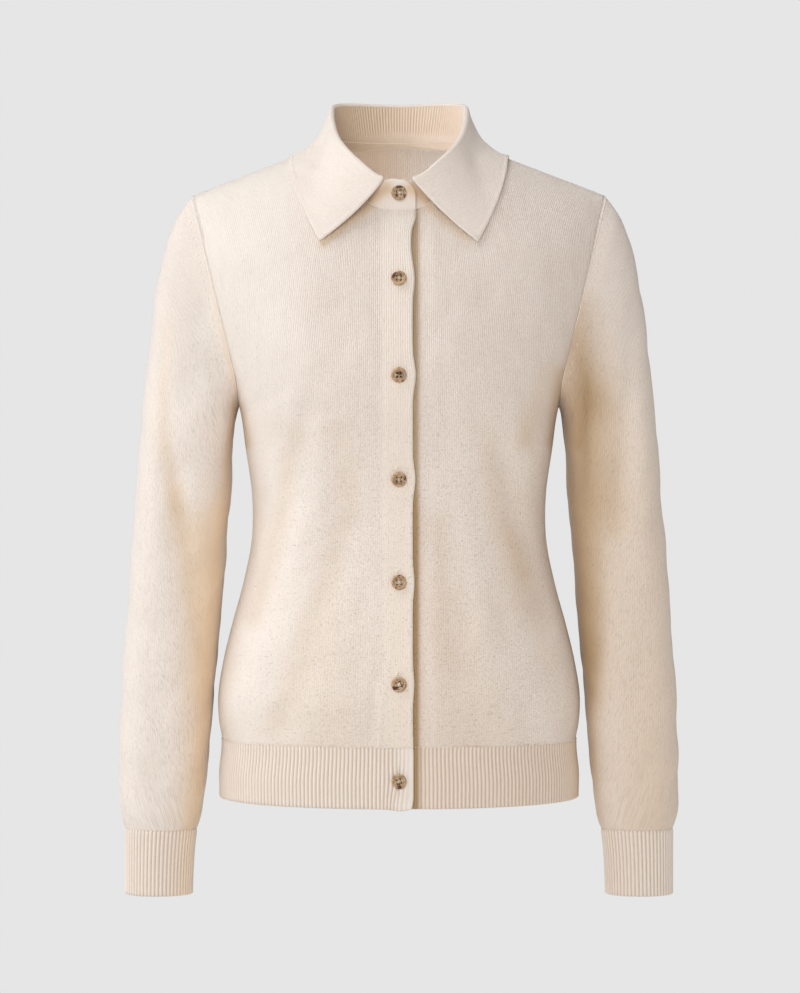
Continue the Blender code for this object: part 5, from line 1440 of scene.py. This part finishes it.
def frontSurface(*pieces):
    # reads how far forward the cloth stands at a place seen from the front
    meshes = [piece.data for piece in pieces]
    trees = [BVHTree.FromPolygons([v.co[:] for v in mesh.vertices], [f.vertices[:] for f in mesh.polygons])
             for mesh in meshes]

    def at(x, z):
        # foremost hit of a ray that runs straight back from the front
        hits = [tree.ray_cast(Vector((x * mm, -1.0, z * mm)), Vector((0.0, 1.0, 0.0)))[0] for tree in trees]
        return min(hit.y for hit in hits if hit is not None) / mm

    return at


bandAt = frontSurface(panels["frontRight"]["piece"], hemPieces["hemFrontRight"][0])
holeLoops = []
for number, size in buttonhole["sizes"]:
    turn = np.arange(20) * 2 * math.pi / 20
    x = buttonhole["side"] + buttonhole["wide"] * size * np.cos(turn)
    z = buttonHeights[number] + buttonhole["above"] + buttonhole["high"] * size * np.sin(turn)
    z = settle(np.stack((x, 0 * x, z), -1))[:, 2]
    y = np.array([bandAt(*place) for place in zip(x, z)]) - buttonhole["out"] * size
    holeLoops.append(tubeAlong(np.stack((x, y, z), -1), buttonhole["thick"] * size, closed=True))
points, faces = joinShapes(holeLoops)
holeStitches = meshPiece("buttonholeStitches", points, faces, sewingThread, slot="plain_knit")

seam = {"radius": 0.42, "out": 0.15, "sides": 6, "neckRow": -5, "neckEnd": 62.0}

for name in ("frontRight", "frontLeft"):
    line, above = panels[name]["outer"][seam["neckRow"]], panels[name]["outer"][seam["neckRow"] + 1]
    keep = np.abs(line[:, 0]) < seam["neckEnd"]
    line, above = line[keep], above[keep]
    way = unit(np.cross(np.gradient(line, axis=0), above - line))
    way *= np.where(way[:, 1:2] > 0, -1.0, 1.0)
    bead = beads["fronts"]
    place, out, step = evenAlong(line, bead["pitch"], way, np.gradient(line, axis=0))
    place = place + bead["out"] * unit(out)
    beadRow(name + "NeckStitches", place, step, out, bead["size"], seamYarn)

for hand, label in ((-1, "Right"), (1, "Left")):
    _, outer, normal = sleeves[hand]
    points, faces = tubeAlong(outer[1] + seam["out"] * normal[1], seam["radius"], sides=seam["sides"], closed=True)
    seamTube = meshPiece("armholeSeam" + label, points, faces, seamYarn, slot="plain_knit")
    bead, halves = beads["fashion"], []
    for first, last in ((9, 38), (58, 87)):  # front and back of the sleeve head
        row = np.argmax(lengthAlong(outer, 0)[:, first:last] > bead["fromSeam"], axis=0)
        column = np.arange(first, last)
        place, way = outer[row, column], normal[row, column]
        down = outer[row + 1, column] - place
        run = unit(np.gradient(place, axis=0)) + bead["slant"] * unit(down)
        halves.append(evenAlong(place, bead["pitch"], way, run))
    place, out, step = (np.concatenate(parts) for parts in zip(*halves))
    # the fashion marks carry painted warm and dark shade like the sleeve round them
    fashion = beadRow("fashionMarks" + label, place + bead["out"] * unit(out), step, out, bead["size"], seamYarn,
                      paintedShade={"warmShade": 0.15, "darkShade": 0.05 if hand < 0 else 0.22})

points, faces = tubeAlong(seamOut[::6], seam["radius"], sides=seam["sides"])
neckCord = meshPiece("neckSeam", points, faces, seamYarn, slot="plain_knit")

for name, (_, outer, normal) in hemPieces.items():
    bead, crests = beads["hem"], slice(hem["perRib"] // 2, None, hem["perRib"])
    place, way = outer[-1, crests], normal[-1, crests]
    run = np.gradient(outer[-1], axis=0)[crests]
    # painted shadow of the right front's edge on the left hem's stitches
    underEdgeShadow = 0.8 * (1.0 - ramp(place[:, 0], 13.0, 21.0)) * (name == "hemFrontLeft")
    place = place + bead["out"] * way + (0.0, 0.0, bead["up"])
    beadRow(name + "Stitches", place, run, way, bead["size"], seamYarn,
                                slot="rib_knit", paintedShade={"darkShade": underEdgeShadow})

bead = beads["neck"]
place, out, step = evenAlong(stitchLine, bead["pitch"], stitchWay, np.gradient(stitchLine, axis=0))
place = place + bead["out"] * out
neckStitches = beadRow("neckStitches", place, step, out, bead["size"], seamYarn, slot="rib_knit")
print("seams made")


shot = {"distance": 2.84, "height": -0.311, "side": 0.0009, "lens": 115.6}  # in metres, as the lamps and the floor
camera = bpy.data.objects.new("camera", bpy.data.cameras.new("camera"))
camera.data.sensor_fit = "AUTO"
camera.data.sensor_width = 36.0
camera.data.lens = shot["lens"]
camera.data.clip_end = 60.0
camera.location = (shot["side"], -shot["distance"], shot["height"])
camera.rotation_euler = (math.pi / 2, 0.0, 0.0)
bpy.context.scene.collection.objects.link(camera)
bpy.context.scene.camera = camera
bpy.context.scene.view_settings.view_transform = "Standard"

studio = {
    "floor": -1.25, "radius": 7.0, "cove": 1.5, "wall": 6.0, "around": 96,
    "shade": 0.79, "lit": 0.25, "glow": 0.48, "bounce": (1.0, 0.962, 0.91, 1.0), "air": 0.02,
}
lampAim = (0.0, 0.0, -0.3)
lamps = {  # the last one shines into the neck
    "sideLight": {"place": (-3.2, -0.3, 0.7), "size": (1.6, 2.4), "power": 20.0, "colour": (0.84, 0.94, 1.0)},
    "frontLight": {"place": (-0.5, -3.4, 0.5), "size": (1.4, 1.4), "power": 41.0, "colour": (0.97, 0.99, 1.0)},
    "topLight": {"place": (-1.5, -0.4, 2.6), "size": (2.0, 2.0), "power": 56.0, "colour": (0.97, 0.985, 1.0)},
    "rimLight": {"place": (3.2, -0.3, 0.2), "size": (1.6, 2.4), "power": 3.0, "colour": (1.0, 1.0, 1.0)},
    "neckLight": {"place": (-0.025, -0.02, -0.13), "aim": (0.015, 0.055, -0.01), "size": (0.06, 0.05), "power": 0.07,
                  "colour": (1.0, 1.0, 1.0)},
}


def studioBowl():
    # floor disc that curves up into a round wall: a profile of radius and height carried round the Z axis; the camera
    # sees it in one even tone, and the rest of the light falls on a darker cloth that glows a little
    bend, cove = np.linspace(0.0, math.pi / 2, 12), studio["cove"]
    radius = np.concatenate(([0.0, 2.0, 4.0], studio["radius"] - cove + cove * np.sin(bend), [studio["radius"]]))
    height = np.concatenate(([0.0, 0.0, 0.0], cove * (1 - np.cos(bend)), [studio["wall"]])) + studio["floor"]
    turn = np.arange(studio["around"]) * 2 * math.pi / studio["around"]
    radius, height = radius[:, None], height[:, None]
    points = np.stack((radius * np.cos(turn), radius * np.sin(turn), height + 0 * turn), -1)
    index = np.arange(points.size // 3).reshape(-1, studio["around"])
    after = np.roll(index, -1, axis=1)
    faces = np.stack((index[:-1], after[:-1], after[1:], index[1:]), -1).reshape(-1, 4)
    mesh = bpy.data.meshes.new("studioBowl")
    mesh.from_pydata(points.reshape(-1, 3).tolist(), [], faces.tolist())
    work = bmesh.new()
    work.from_mesh(mesh)
    bmesh.ops.remove_doubles(work, verts=work.verts, dist=0.0001)
    work.to_mesh(mesh)
    work.free()
    mesh.shade_smooth()
    bowl = bpy.data.objects.new("studioBowl", mesh)
    bpy.context.scene.collection.objects.link(bowl)
    material = bpy.data.materials.new("paleStudio")
    material.use_nodes = True
    tree = material.node_tree
    tree.nodes.clear()
    output = tree.nodes.new("ShaderNodeOutputMaterial")
    seen, lit = tree.nodes.new("ShaderNodeEmission"), tree.nodes.new("ShaderNodeBsdfDiffuse")
    seen.inputs["Color"].default_value = (studio["shade"], studio["shade"], studio["shade"], 1.0)
    lit.inputs["Color"].default_value = (studio["lit"], studio["lit"], studio["lit"], 1.0)
    glow, both = tree.nodes.new("ShaderNodeEmission"), tree.nodes.new("ShaderNodeAddShader")
    glow.inputs["Color"].default_value = studio["bounce"]
    glow.inputs["Strength"].default_value = studio["glow"]
    tree.links.new(lit.outputs[0], both.inputs[0])
    tree.links.new(glow.outputs[0], both.inputs[1])
    path, mix = tree.nodes.new("ShaderNodeLightPath"), tree.nodes.new("ShaderNodeMixShader")
    tree.links.new(path.outputs["Is Camera Ray"], mix.inputs[0])
    tree.links.new(both.outputs[0], mix.inputs[1])
    tree.links.new(seen.outputs[0], mix.inputs[2])
    tree.links.new(mix.outputs[0], output.inputs["Surface"])
    mesh.materials.append(material)


def softbox(name, place, size, power, colour, aim=lampAim):
    # rectangular area light, turned towards the place that it is aimed at
    light = bpy.data.lights.new(name, "AREA")
    light.shape = "RECTANGLE"
    light.size, light.size_y = size
    light.energy = power
    light.color = colour
    lamp = bpy.data.objects.new(name, light)
    lamp.location = place
    lamp.rotation_euler = (Vector(aim) - Vector(place)).to_track_quat("-Z", "Y").to_euler()
    bpy.context.scene.collection.objects.link(lamp)
    return lamp


studioBowl()
lights = {name: softbox(name, **lamp) for name, lamp in lamps.items()}
lights["neckLight"].visible_camera = False
world = bpy.data.worlds.new("studioAir")
world.use_nodes = True
air = world.node_tree.nodes["Background"]
air.inputs["Color"].default_value = (1.0, 1.0, 1.0, 1.0)
air.inputs["Strength"].default_value = studio["air"]
bpy.context.scene.world = world
print("studio made")
